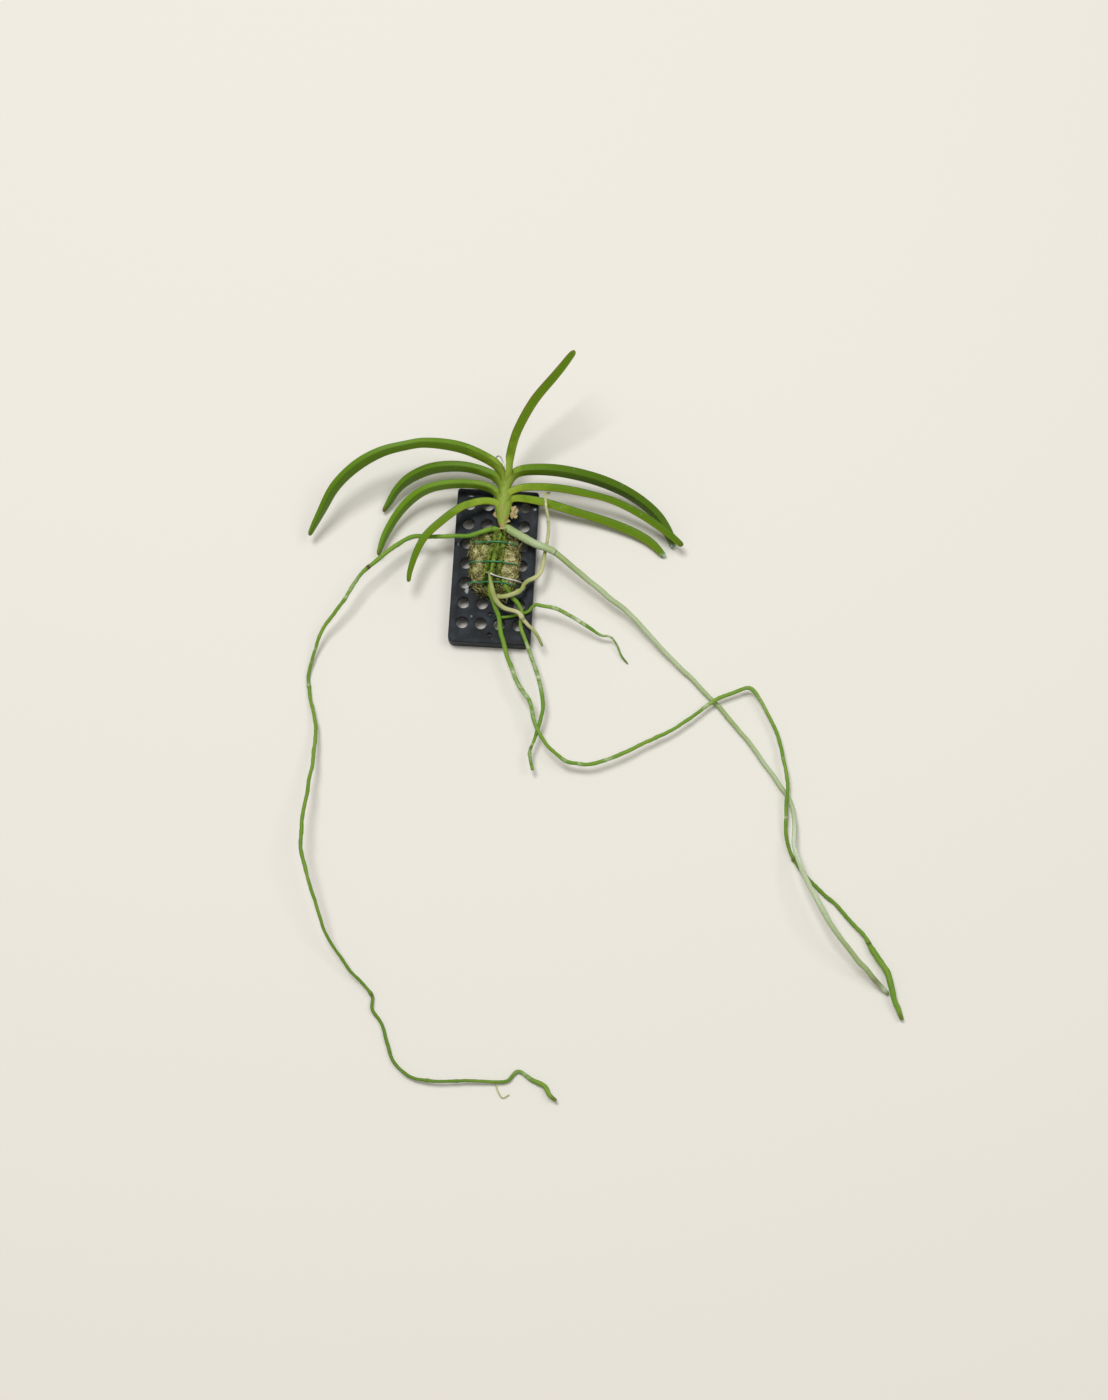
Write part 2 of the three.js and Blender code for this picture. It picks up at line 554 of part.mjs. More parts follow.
const foot = [solid(stem(GAP))];
Object.entries(ROOTS).forEach(([name, { material, steps, radii, points }]) => {
  add(name, surface(clearOf(solid(taperedRod(points, radii, steps)), foot)), material);
  pressed.push(solid(taperedRod(points, radii, steps, ROD_SIDES, GAP)));
});

add('moss_pad', surface(mossPad(pressed)), DRY_MOSS);

export default orchid;
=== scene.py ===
"""Visible surfaces of a young vanda orchid that is tied with moss to a perforated hanging plaque.

Shapes are worked out in millimetres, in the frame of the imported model: +X across the plaque, +Y
along it towards the leaves, +Z up from the surface that the plant lies on.
"""

import bmesh
import bpy
import numpy as np
from bpy.props import FloatProperty, FloatVectorProperty, IntProperty, PointerProperty
from mathutils import Matrix, Vector
from mathutils.geometry import delaunay_2d_cdt


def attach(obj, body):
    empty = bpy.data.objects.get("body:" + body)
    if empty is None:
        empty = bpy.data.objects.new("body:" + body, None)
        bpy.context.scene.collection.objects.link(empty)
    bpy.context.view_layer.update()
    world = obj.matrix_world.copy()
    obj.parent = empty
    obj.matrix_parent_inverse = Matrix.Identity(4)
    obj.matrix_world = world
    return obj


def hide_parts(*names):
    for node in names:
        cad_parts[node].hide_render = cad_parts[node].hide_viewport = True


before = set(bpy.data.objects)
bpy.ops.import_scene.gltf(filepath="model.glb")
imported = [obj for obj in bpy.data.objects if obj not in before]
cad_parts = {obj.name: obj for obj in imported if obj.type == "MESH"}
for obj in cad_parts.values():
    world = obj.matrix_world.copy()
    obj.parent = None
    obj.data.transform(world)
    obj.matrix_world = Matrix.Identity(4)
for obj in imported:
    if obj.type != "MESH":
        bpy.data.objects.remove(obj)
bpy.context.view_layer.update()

bl_info = {
    "name": "Mounted vanda orchid",
    "version": (1, 0, 0),
    "blender": (4, 5, 0),
    "location": "3D View > Sidebar > Orchid",
    "description": "Makes the visible surfaces of a vanda orchid that is tied to a hanging plaque",
    "category": "Object",
}

MM = 0.001

# ---- The plant's and the holder's shapes, in millimetres ------------------------------------------

PLAQUE = {
    "width": 40.6, "lower": -1, "upper": 78, "height": 8, "plate": 3, "rim": 2.1, "bevel": 0.6,
    "lower_corner": 3.2, "upper_corner": 1.6,
}
HOLES = {"columns": 4, "rows": 7, "across": 9.2, "along": 10.15, "first": 9, "radius": 2.9, "sides": 48}
SMALL_HOLES = {"radius": 1.25, "along": (3.2, 13.7), "sides": 28}

# Chalky spots on the plaque: place, half sizes and strength.
LIME_SPOTS = [
    (-12.4, 25.5, 2, 3, 1), (-11.4, 18, 0.8, 6, 0.75), (-9.2, 12.2, 1.6, 1.6, 0.7),
    (-18.2, 49, 1.2, 2, 0.9), (-13.8, 74, 3, 0.6, 0.9), (18.6, 69, 1.4, 1.2, 0.9),
    (12.5, 2.5, 2, 1.2, 0.5), (15.6, 60.5, 1.2, 2.5, 0.55),
]

# loose and ridge are how high the loose strands and the clumps over the old roots reach; side,
# clumps and rootlets are numbers of strands.
MOSS = {
    "bottom": 8.3, "top": 15.2, "centre": (0.2, 39.6), "loose": 16.7, "ridge": 17.9,
    "side": 800, "clumps": 760, "rootlets": 60,
}
MOSS_OUTLINE = [
    (-10.2, 49.9), (-5.6, 53.4), (-0.8, 54.6), (4.7, 54.4), (9.2, 52.4), (11.7, 48.5), (11.5, 43),
    (12, 38), (11.8, 30.9), (10, 25.2), (4.2, 22.6), (-3.2, 23.3), (-8.8, 27.2), (-11, 33.7),
    (-10.9, 39.8), (-11.9, 45.5),
]

# y is where a tie crosses the moss; left, right and hole are where it goes down and through.
TIES = {
    "tie_upper": {"y": 48.1, "hole": 48.2, "left": 47.6, "right": 47.6},
    "tie_middle": {"y": 38, "hole": 38.5, "left": 38.1, "right": 37.8},
    "tie_lower": {"y": 27.6, "hole": 28.2, "left": 27.6, "right": 27.7},
}
TIE_RADIUS = 0.34

WIRE_RADIUS = 0.42
WIRE = [
    (-3.2, 32.6, 17), (-2.3, 32.3, 17.8), (-1, 31.7, 18.5), (1.7, 30.8, 18.3), (6.7, 30.1, 16.8),
    (10.5, 29.6, 16.2), (13.4, 29.4, 14.6), (14.7, 29.5, 11.4), (14.7, 29.6, 7), (14, 31, 4),
    (12.2, 34.5, 2.5), (8.6, 45, 2.5), (5.9, 54.6, 2.5), (5.2, 58.2, 4.4), (4.8, 59.6, 7),
    (3.9, 60.8, 9.2), (1.6, 63.6, 9.7), (-0.9, 67.1, 9.7), (-1.7, 73.2, 9.8), (-2.6, 80.7, 9.8),
    (-2.2, 87.5, 10), (-2.9, 91.2, 10.6), (-2.5, 93.4, 11.6), (-1, 94.2, 13), (0.5, 92.8, 14.2),
    (1.6, 90.2, 14.9), (2.4, 87.6, 14.9),
]

STEM = [
    (3.5, 55, 15.2), (3.5, 58, 15.2), (3.1, 62.5, 15.4), (3, 69, 15.8), (3.2, 74.5, 16.3),
    (3.8, 79.5, 17), (4.4, 83, 17.6),
]
STEM_RADII = [(0, 1.3), (0.1, 1.7), (0.3, 2.3), (0.5, 2.1), (0.8, 1.8), (1, 1.2)]

# Share of a sheath's full radius at each height on the stem: it narrows to the foot.
FOOT = [(55.5, 0.36), (56.5, 0.42), (58.3, 0.64), (61, 0.84), (63.5, 0.96), (66, 1)]

# side is +1 where the channel opens to the left of the way out, roll turns it up to the face, foot
# is the height on the stem where the sheath begins, clasp is the sheath's radius round the stem and
# slant is how much sooner the margins end than the keel. form gives the half blade's width and its
# place beside the route at shares of the blade's length, and fresh is how light its green stays.
# Youngest leaf first.
# shade is painted light: it makes a grown blade's green lighter or darker for how the light falls on that
# leaf.
LEAVES = {
    "leaf_top": {
        "side": 1, "roll": -3, "foot": 75, "clasp": 1.6, "slant": 0.5, "free": 1.5, "bow": 0.07,
        "rosy": 0.5, "brown": 0.2, "fresh": 0.3, "papery": 0.08,
        "form": [
            (0, 3.6, 0), (0.3, 3.7, -0.4), (0.62, 3.7, -0.9), (0.85, 3.3, -0.7), (0.95, 2.7, -0.2),
            (1, 1.9, 0),
        ],
        "points": [
            (4.6, 82.5, 19.4), (4.9, 88.7, 22), (6.2, 95.8, 27.5), (8.3, 101.8, 32.5), (15.3, 113.9, 42),
            (25.6, 124.9, 51), (34.8, 134.8, 57.3),
        ],
    },
    "leaf_left_1": {
        "side": -1, "roll": 44, "foot": 73, "clasp": 1.95, "slant": 0.8, "fresh": 0.1, "shade": 0.14,
        "brown": 0.2,
        "form": [
            (0, 4.2, 0), (0.22, 4.9, -0.2), (0.42, 4.2, -0.1), (0.62, 5, 0.2), (0.75, 4.7, 0.6),
            (0.85, 4, 1.1), (0.94, 3, 0.5), (1, 1.6, -0.2),
        ],
        "points": [
            (2.6, 82.6, 17.6), (-1.1, 86.9, 19.5), (-6.9, 89.7, 22), (-20.1, 92.6, 27.5),
            (-37, 92.6, 31), (-46.2, 90.5, 31.5), (-58.1, 86.9, 30.5), (-70.8, 79.8, 27),
            (-82.2, 69.2, 20.5), (-90, 55, 11), (-92.4, 48.6, 8),
        ],
    },
    "leaf_right_1": {
        "side": 1, "roll": 52, "foot": 70.5, "clasp": 2.1, "slant": 0.3, "fresh": -0.15, "shade": -0.2,
        "pale": 1, "brown": 0,
        "form": [
            (0, 4.2, 0), (0.2, 5.2, -0.1), (0.35, 5.4, -0.2), (0.52, 5.4, 0.2), (0.68, 5, 0.1),
            (0.8, 4.7, 0.1), (0.91, 4.2, 0), (0.97, 3.4, 0.1), (1, 2.4, 0.2),
        ],
        "points": [
            (4.6, 79, 17), (7.4, 83.2, 18.2), (11.8, 85.2, 19), (26.9, 86.1, 19.8), (42.2, 84.7, 17.6),
            (60.3, 80.3, 12.6), (71.7, 75.4, 8.4), (80.9, 68.8, 4.2), (86.4, 61, 2), (88.6, 54.6, 1.4),
        ],
    },
    "leaf_left_2": {
        "side": -1, "roll": 46, "foot": 67.5, "clasp": 2.2, "slant": 0.8, "brown": 0.6, "shade": 0.08,
        "form": [
            (0, 3.9, 0), (0.27, 4.5, -0.2), (0.48, 5, 0.1), (0.66, 4.9, 0.6), (0.8, 3.8, 0),
            (0.92, 2.8, -0.2), (1, 1.6, 0),
        ],
        "points": [
            (2.6, 77, 16.4), (-0.8, 80.9, 17.2), (-4.7, 83, 17.5), (-16.3, 85.6, 17.8),
            (-27.7, 85.8, 16.5), (-37.3, 84.3, 14), (-44.9, 80.9, 11), (-50.4, 75.7, 7.5),
            (-54.9, 68.5, 3.8), (-57.6, 64.8, 2.6),
        ],
    },
    "leaf_right_2": {
        "side": 1, "roll": 2, "foot": 64.5, "clasp": 2.3, "slant": 0.2, "brown": 0.3, "bow": 0.09,
        "fresh": 0.35,
        "form": [
            (0, 2.7, 0), (0.2, 3.1, 0.1), (0.38, 3.2, 0.4), (0.48, 2.8, 0.4), (0.63, 3, 0.2),
            (0.85, 3, 0.2), (0.96, 2.6, 0), (1, 2, 0),
        ],
        "points": [
            (5, 73.6, 16.2), (8.5, 75.7, 17), (14.2, 77.1, 17.6), (27.4, 77.3, 18), (42.7, 75.5, 17),
            (57.7, 72.8, 15.2), (72, 67.1, 12.6), (86.4, 58.6, 10), (93, 53.8, 9),
        ],
    },
    "leaf_left_3": {
        "side": -1, "roll": 48, "foot": 61.5, "clasp": 2.45, "slant": 0.8, "brown": 0.4, "fresh": 0.3,
        "shade": 0.25,
        "form": [
            (0, 3.3, 0), (0.25, 3.9, -0.2), (0.44, 4.1, -0.5), (0.62, 4.2, -0.6), (0.74, 3.8, -0.6),
            (0.85, 3.3, -0.4), (0.94, 2.4, -0.2), (1, 1.6, 0),
        ],
        "points": [
            (1.4, 72, 15.6), (-1.8, 74.9, 16.2), (-6, 76.6, 16.5), (-18.4, 77.2, 17), (-34.7, 73.8, 15),
            (-45.2, 66.4, 10.8), (-54, 53.1, 6.2), (-58.2, 41.3, 4.4),
        ],
    },
    "leaf_right_3": {
        "side": 1, "roll": 0, "foot": 58.5, "clasp": 2.6, "wrap": 1.8, "slant": -0.3, "pale": 1,
        "brown": 0, "bow": 0.1, "fresh": 0.6, "papery": 0.6,
        "form": [
            (0, 2.5, 0), (0.15, 3, 0.1), (0.33, 3.6, 0.2), (0.5, 3.4, -0.1), (0.66, 3.7, 0),
            (0.8, 3.7, 0.3), (0.92, 3.3, 0.4), (1, 2.1, 0.2),
        ],
        "points": [
            (3.9, 64, 15.2), (4.3, 67.2, 15), (5.2, 69.8, 14.6), (7.2, 71.7, 13.9), (10.8, 72.4, 13.2),
            (20.1, 71.9, 11.6), (35.5, 69.2, 8.8), (51, 66.3, 6), (65.6, 61.8, 4), (76.3, 56.6, 2.8),
            (84.3, 49.8, 1.9),
        ],
    },
    "leaf_left_4": {
        "side": -1, "roll": 0, "foot": 55.2, "clasp": 2.7, "wrap": 1.5, "slant": 0.5, "brown": 0.2,
        "bow": 0.1, "fresh": 0.65, "papery": 0.8,
        "form": [
            (0, 2.4, 0.2), (0.16, 2.75, 0.4), (0.3, 3, 0.5), (0.48, 3.2, 0.5), (0.65, 3.1, 0.3),
            (0.82, 2.65, -0.1), (0.92, 2.15, -0.1), (1, 1.5, 0),
        ],
        "points": [
            (2.9, 61, 15.2), (2.7, 64, 15.4), (1.9, 66.5, 15.8), (0.4, 68.4, 16.4), (-2.3, 69.2, 17.1),
            (-6.2, 69.1, 18), (-11.6, 67.5, 19.2), (-17.9, 64.3, 20.5), (-27.2, 55.9, 21.5),
            (-34.9, 46.7, 21), (-40.2, 31.5, 17), (-40.9, 25.6, 15.5),
        ],
    },
}

# Each root's way out from the plant, its radii as (share of length, radius) pairs, and its marks
# as (distance from the start, reach, amount).
ROOTS = {
    "root_silver": {
        "finish": "silver_root", "lumps": 0.06, "sway": 0.25,
        "radii": [
            (0, 2.2), (0.03, 2.05), (0.06, 1.9), (0.088, 1.7), (0.094, 1.45), (0.2, 1.4), (0.27, 1.3),
            (0.34, 1.18), (0.45, 1.1), (0.66, 1.08), (0.75, 1.18), (0.83, 1.4), (0.88, 1.22),
            (0.94, 1.35), (0.975, 1.25), (0.99, 1.1), (1, 0.75),
        ],
        "dark": [(28.7, 0.35, 0.75), (302, 4, 0.4), (312, 1.4, 0.7)],
        "pale": [
            (28.2, 0.6, 0.8), (19, 5, 0.35), (95, 35, 0.4), (178, 12, 0.4), (222, 22, 0.85),
            (256, 14, 0.4), (308, 1.6, 0.8),
        ],
        "green": [(5, 7, 0.4), (34, 9, 0.6), (140, 9, 0.6)],
        "swell": [(203, 1, 0.12)],
        "points": [
            (4, 56.9, 15.4), (11.4, 52.9, 16.2), (20.5, 48.5, 16.4), (25.6, 46.8, 16.3),
            (30.3, 44.6, 15.7), (38, 39.5, 14), (48.5, 31.8, 11.8), (59, 24.3, 10), (70.1, 16.4, 7.8),
            (79.1, 7.9, 5.6), (90.3, -2.4, 3.4), (104.5, -15.1, 1.7), (119.5, -29.9, 1.4),
            (131.9, -44.2, 1.4), (144.3, -60.2, 1.8), (150.9, -69.9, 2.8), (153.4, -80.1, 5.5),
            (153.1, -92, 9.5), (155.8, -101.7, 13), (159.7, -111.5, 16.5), (166.2, -123.6, 18.5),
            (172.8, -133.4, 18), (182.4, -144.1, 13.5), (192.9, -153.8, 7), (201.4, -160.8, 1.5),
        ],
    },
    "root_left_long": {
        "finish": "green_root", "lumps": 0.12, "sway": 0.35,
        "radii": [
            (0, 0.8), (0.01, 1.15), (0.03, 1.15), (0.05, 1), (0.09, 1.1), (0.14, 1.12), (0.18, 1),
            (0.25, 0.9), (0.3, 0.82), (0.38, 0.9), (0.5, 0.98), (0.56, 0.88), (0.62, 0.74), (0.72, 0.76),
            (0.78, 0.85), (0.86, 0.72), (0.92, 0.8), (0.955, 0.95), (0.97, 1.15), (0.99, 1.1), (1, 0.85),
        ],
        "swell": [
            (3, 0.9, 0.25), (7, 1, 0.2), (138.5, 0.9, 0.22), (303.5, 0.9, 0.3), (358, 0.7, 0.2),
            (372, 0.6, 0.15),
        ],
        "dark": [
            (4.4, 0.5, 0.35), (71.6, 0.8, 1.3), (200, 90, 0.1), (304.5, 1, 0.4), (345, 70, 0.2),
            (425.5, 1.6, 0.5),
        ],
        "pale": [
            # The pale mark at 406 mm is painted highlight: a white streak on the hump's slope.
            (83.5, 5.5, 0.45), (89.5, 0.8, 0.8), (138, 0.8, 0.6), (120, 1, 0.5), (126, 0.8, 0.4),
            (406, 3.5, 0.6),
        ],
        "green": [(13, 9, 0.5), (345, 60, 0.5)],
        "points": [
            (2.6, 55.3, 15.8), (0.4, 55.2, 16.2), (-1.6, 55, 16.4), (-4.4, 54.1, 16.4),
            (-8.5, 52.3, 16.3), (-12.7, 50.9, 16.1), (-18.9, 50.6, 15.6), (-30.3, 50.1, 14.8),
            (-40.1, 49.5, 14.3), (-46.4, 45.9, 14.5), (-55.9, 37.5, 15.4), (-64.1, 28.8, 16),
            (-72.7, 14.4, 13.5), (-82.2, 0, 8.5), (-85.5, -9, 4.6), (-87.6, -24.7, 1.1),
            (-82.9, -42.1, 4.2), (-81.1, -61.2, 9), (-82.3, -79.2, 13.5), (-83.2, -97, 17),
            (-82.5, -109.2, 18.5), (-78.8, -120.7, 18.3), (-71.7, -140.6, 15), (-65.9, -152, 11),
            (-54.3, -166.4, 5), (-44.8, -175.7, 2.2), (-44.2, -182.3, 1.6), (-39, -189, 1.3),
            (-35.8, -197.6, 1.2), (-32.2, -206, 1.5), (-25.8, -211.9, 2.8), (-12.5, -214.4, 4.4),
            (4.5, -213, 4), (16.5, -213.2, 2.8), (22.8, -212, 1.7), (26.9, -207.4, 1.3),
            (33.2, -210.7, 1.4), (39.4, -213.2, 2.2), (42.5, -217.8, 3.4), (46, -220.3, 4),
        ],
    },
    "root_centre_long": {
        "finish": "green_root", "lumps": 0.13, "sway": 0.35,
        "radii": [
            (0, 0.85), (0.07, 0.95), (0.12, 1.15), (0.16, 1.12), (0.22, 1.05), (0.28, 0.92), (0.4, 0.95),
            (0.47, 0.9), (0.53, 1), (0.6, 0.9), (0.75, 0.85), (0.85, 0.92), (0.893, 0.95), (0.908, 1.35),
            (0.94, 1.5), (0.975, 1.4), (0.99, 1.25), (1, 1),
        ],
        "pale": [
            # The broad pale mark at 92 mm is painted sheen.
            (73.5, 3, 0.8), (81.3, 2.5, 0.7), (92, 9, 0.35), (86, 1.5, 0.6), (124.1, 1, 0.8),
            (132.3, 1, 0.8), (146.3, 2, 0.8), (201.9, 3, 0.75), (264.4, 0.6, 0.7), (293.9, 0.7, 0.8),
            (233, 10, 0.2),
        ],
        "swell": [
            (124.1, 0.8, 0.18), (132.3, 0.8, 0.15), (171.8, 0.9, 0.25), (264.4, 0.7, 0.15),
            (314.4, 0.8, 0.45), (367, 1.2, 0.2),
        ],
        "dark": [(314.4, 1.2, 0.5), (368.9, 0.5, 0.8), (335, 28, 0.15), (407, 2, 0.5)],
        "green": [(332, 30, 0.5), (395, 12, 0.3)],
        "points": [
            (2.8, 53.2, 16.5), (1.6, 47.3, 16.5), (1.1, 42.9, 16.5), (0.1, 38.9, 16.5),
            (-0.3, 33.6, 16.5), (-1.2, 28, 16.5), (-0.8, 22.3, 15.6), (0.6, 19.2, 14), (4.3, 12.3, 11.6),
            (5.8, 3.9, 10.2), (8.8, -5.1, 9.8), (12.4, -14.6, 10.2), (16.9, -22.9, 10.8),
            (21.5, -29, 11), (25.7, -41.1, 11), (29.6, -47.9, 10.4), (34.9, -53.6, 9.6),
            (40.6, -57.5, 9), (46.6, -58.4, 8.6), (52, -58.7, 8.2), (60.9, -55.8, 7.8), (76.8, -47.4, 7),
            (93.7, -37.8, 6.2), (111.4, -23.5, 5.3), (122.1, -18, 5.5), (129.3, -15.6, 5.8),
            (134.1, -20.5, 5.3), (140.7, -31.8, 4.8), (145.7, -45.2, 5), (149.2, -60.3, 5.6),
            (149, -80.4, 3.8), (150.3, -89.1, 2.4), (153.7, -97.7, 1.1), (163.3, -109, 0.9),
            (174.4, -118.7, 1), (182.6, -126.7, 1.3), (189.5, -134.4, 2), (193.9, -141, 2.9),
            (199.6, -150, 4), (202.9, -160.1, 4.6), (208.2, -173, 2.6),
        ],
    },
    "root_short_green": {
        "finish": "green_root", "lumps": 0.08,
        "radii": [
            (0, 0.9), (0.1, 1.1), (0.25, 0.92), (0.4, 1), (0.65, 1), (0.85, 0.85), (0.93, 0.72),
            (1, 0.85),
        ],
        "pale": [
            (37, 1.5, 0.6), (46, 9, 0.55), (53.9, 1.5, 0.8), (58, 3, 0.35), (87.7, 0.8, 0.6),
            (93.5, 3.5, 0.5),
        ],
        "green": [(72, 14, 0.9)],
        "swell": [(87.7, 1, -0.2), (93, 1.4, 0.25)],
        "dark": [(89.5, 0.8, 0.6), (97.6, 0.6, 0.5)],
        "points": [
            (5, 30, 15.9), (6, 28, 15.7), (7, 26, 15.3), (8.7, 24.1, 13.5), (10.4, 21.8, 12.3),
            (13.2, 19, 12), (15.4, 14.9, 11.6), (15.1, 10.6, 10.7), (15.3, 7.6, 10.1), (18, 1.2, 9.7),
            (22.7, -10.2, 9.4), (25.6, -17.7, 9.2), (28.5, -30.8, 8.8), (27.8, -37.4, 8.3),
            (25.2, -48.1, 7.7), (23.4, -54.2, 7.4), (25.3, -63.1, 7),
        ],
    },
    "root_pale_front": {
        "finish": "pale_root", "lumps": 0.06,
        "radii": [
            (0, 0.35), (0.07, 0.6), (0.16, 1.15), (0.3, 1.25), (0.5, 1.05), (0.65, 1), (0.9, 0.85),
            (1, 0.5),
        ],
        "dark": [(0.5, 2, 0.4), (32.5, 0.6, 0.5), (50, 3, 0.4), (32, 12, 0.12)],
        "green": [(6, 8, 0.5), (48, 9, 0.9)],
        "swell": [(31, 1.3, 0.3)],
        "points": [
            (-2, 32.6, 19.7), (-1.2, 29.7, 20.2), (-0.5, 27.3, 20.4), (0.5, 23.3, 20.1), (1.9, 19.8, 18),
            (4.1, 17.1, 16.4), (6.9, 15.4, 15.4), (14, 13.6, 14.8), (16.2, 10.8, 13.9),
            (18.9, 8.2, 12.6), (21.7, 6.1, 11.5), (23.9, 3.4, 10.3), (26.5, -1.2, 8.8),
        ],
    },
    "root_pale_hooked": {
        "finish": "pale_root", "lumps": 0.06,
        "radii": [
            (0, 1.15), (0.15, 1.2), (0.24, 0.95), (0.33, 1.15), (0.45, 1), (0.6, 0.82), (0.85, 0.72),
            (1, 0.6),
        ],
        "swell": [(12.5, 1, 0.3), (54.1, 0.6, 0.18), (33, 1.5, 0.15)],
        "dark": [(54.6, 0.5, 0.4)],
        "pale": [(64, 2.5, 0.7), (52, 12, 0.45)],
        "green": [(39, 5, 0.3)],
        "points": [
            (1.2, 20.6, 14.9), (3, 20.9, 15.2), (7, 21.4, 15.6), (10, 22.4, 15.7), (12.9, 24, 15.4),
            (14.8, 25.7, 15), (15.6, 27.9, 14.6), (17.2, 30, 14.2), (21.8, 33, 13.2), (23.8, 36.5, 12.8),
            (24.9, 44.7, 12.2), (25.8, 51.6, 12.6), (26.1, 57.7, 13.9), (25.4, 63.5, 15.2),
            (24.4, 67.5, 15.8), (23.9, 71.5, 15.8), (23.4, 73.9, 15.5), (24.3, 75.4, 15.2),
            (26, 75.8, 15),
        ],
    },
    "root_side_green": {
        "finish": "green_root", "lumps": 0.07,
        "radii": [
            (0, 0.72), (0.2, 0.8), (0.35, 0.98), (0.6, 0.95), (0.72, 0.7), (0.83, 0.5), (0.95, 0.48),
            (1, 0.3),
        ],
        "pale": [
            (28.8, 2.5, 0.8), (36, 4, 0.4), (42.8, 2.5, 1.7), (45.5, 1, 0.8), (59, 4, 0.8), (67, 5, 0.3),
        ],
        "green": [(49, 2.5, 0.6), (70, 6, 0.5)],
        "dark": [(75, 1.5, 0.5)],
        "points": [
            (4.8, 12, 9.5), (9.5, 12.9, 9.4), (16.4, 15, 9.3), (18.8, 16.2, 9.8), (20.5, 18.2, 10.6),
            (22.4, 19.1, 11.4), (24.7, 18.6, 12), (31.8, 17.4, 12.8), (38, 14.9, 12), (48.9, 9.7, 8.8),
            (54.6, 6.8, 6.6), (59.7, 6.3, 5.2), (62.9, 3.1, 3.8), (65.5, -1.9, 1.8), (69, -5.6, 0.6),
        ],
    },
    "root_old_left": {
        "finish": "old_root", "slot": "green_root", "lumps": 0.3,
        "radii": [(0, 0.75), (0.4, 0.9), (1, 0.7)],
        "points": [
            (0.6, 51.6, 16.5), (-0.7, 47.2, 16.5), (-2, 42.7, 16.5), (-2.9, 38.5, 16.5),
            (-3.3, 34.6, 16.4),
        ],
    },
    "root_old_right": {
        "finish": "old_root", "slot": "green_root", "lumps": 0.3,
        "radii": [(0, 0.75), (0.4, 0.9), (1, 0.7)],
        "points": [
            (4.9, 51.6, 16.5), (4, 47.2, 16.5), (4.3, 42.5, 16.5), (3.3, 38.1, 16.5), (2.6, 35.4, 16.4),
        ],
    },
    "root_dry_fibre": {
        "finish": "pale_root", "lumps": 0.05,
        "radii": [(0, 0.3), (0.5, 0.35), (1, 0.25)],
        "points": [
            (16.3, -212.6, 1.3), (17.2, -215.3, 0.7), (18.7, -218.4, 0.5), (20.4, -220.2, 0.5),
            (23.5, -218.5, 0.9),
        ],
    },
}

# Torn papery scraps, each as its width and a short way.
SCRAPS = {
    "dried_bract_right": [
        (2.9, [(6.9, 63.4, 14.6), (8.1, 64.6, 15.2), (9.2, 66, 15), (9.6, 67.3, 14.5)]),
        (2, [(7, 62.6, 14.5), (8.6, 62.9, 15.2), (10.3, 62.4, 14.6)]),
        (1.7, [(7.6, 65, 15.2), (8.2, 66.8, 15.7), (9.3, 67.6, 15.1)]),
        (1.5, [(8.8, 64, 15.3), (9.7, 64.9, 15.6), (10.3, 66.2, 15)]),
        (1.2, [(7.4, 61.6, 14.6), (8.2, 62.5, 15.1), (8.6, 63.9, 15.5)]),
    ],
    "dried_bract_left": [
        (1.6, [(0.2, 61.6, 14.6), (-0.7, 62.7, 15), (-1.3, 63.9, 14.6)]),
        (1.2, [(-0.2, 62.9, 14.9), (-0.9, 63.8, 15.2), (-1, 64.6, 14.8)]),
    ],
    "foot_scraps": [
        (1.4, [(4.9, 58.6, 16.4), (5.9, 59.3, 16.9), (7, 59.3, 16.7)]),
        (1.2, [(2.4, 56, 16.4), (3.2, 55.7, 16.8), (4.2, 56.2, 16.6)]),
    ],
}


# ---- Small tools ---------------------------------------------------------------------------------


def linear(code):
    """Linear red, green and blue of an sRGB hex colour."""
    value = np.array([int(code[k:k + 2], 16) for k in (1, 3, 5)]) / 255
    return tuple(np.where(value <= 0.04045, value / 12.92, ((value + 0.055) / 1.055) ** 2.4).tolist())


def rgba(colour):
    """A hex colour or three linear numbers as a node colour."""
    return (*(linear(colour) if isinstance(colour, str) else colour), 1.0)


# The inputs that the values given for a kind of node fill, and its main output if it isn't the first.
INPUTS = {
    "TexNoise": ("Vector", "Scale", "Detail", "Roughness"), "TexVoronoi": ("Vector", "Scale"),
    "MapRange": ("Value", "From Min", "From Max", "To Min", "To Max"),
    "Mapping": ("Vector", "Scale", "Location"), "Bump": ("Height", "Strength", "Distance"),
    "Mix": (0, 6, 7), "Math": (0, 1, 2), "VectorMath": (0,), "ValToRGB": ("Fac",), "SeparateColor": (0,),
    "HueSaturation": ("Color", "Value"),
}
OUTPUT = {"Mix": 2, "Attribute": "Fac", "VectorMath": "Value"}


def fill(tree, socket, value):
    """Links a socket to an output, or sets its constant."""
    if isinstance(value, bpy.types.NodeSocket):
        tree.links.new(value, socket)
    else:
        socket.default_value = rgba(value) if socket.type == "RGBA" else value


def add(tree, kind, *values, stops=(), **settings):
    """Adds a node, sets its settings, fills its inputs with values or links, places the stops of a
    colour ramp, and gives the main output."""
    node = tree.nodes.new("ShaderNode" + kind)
    if kind == "Mix":
        node.data_type = "RGBA"
    for key, value in settings.items():
        setattr(node, key, value)
    for key, value in zip(INPUTS.get(kind, ()), values):
        fill(tree, node.inputs[key], value)
    for place, _ in stops[1:-1]:
        node.color_ramp.elements.new(place)
    for index, (place, shade) in enumerate(stops):
        node.color_ramp.elements[index].position = place
        node.color_ramp.elements[index].color = rgba(shade)
    return node.outputs[OUTPUT.get(kind, 0)]


def smooth(value, low, high):
    """Goes from 0 at low to 1 at high, level at both ends."""
    share = np.clip((value - low) / (high - low), 0, 1)
    return share * share * (3 - 2 * share)


def unit(vectors):
    """Vectors divided by their lengths."""
    return vectors / np.maximum(np.linalg.norm(vectors, axis=-1, keepdims=True), 1e-12)


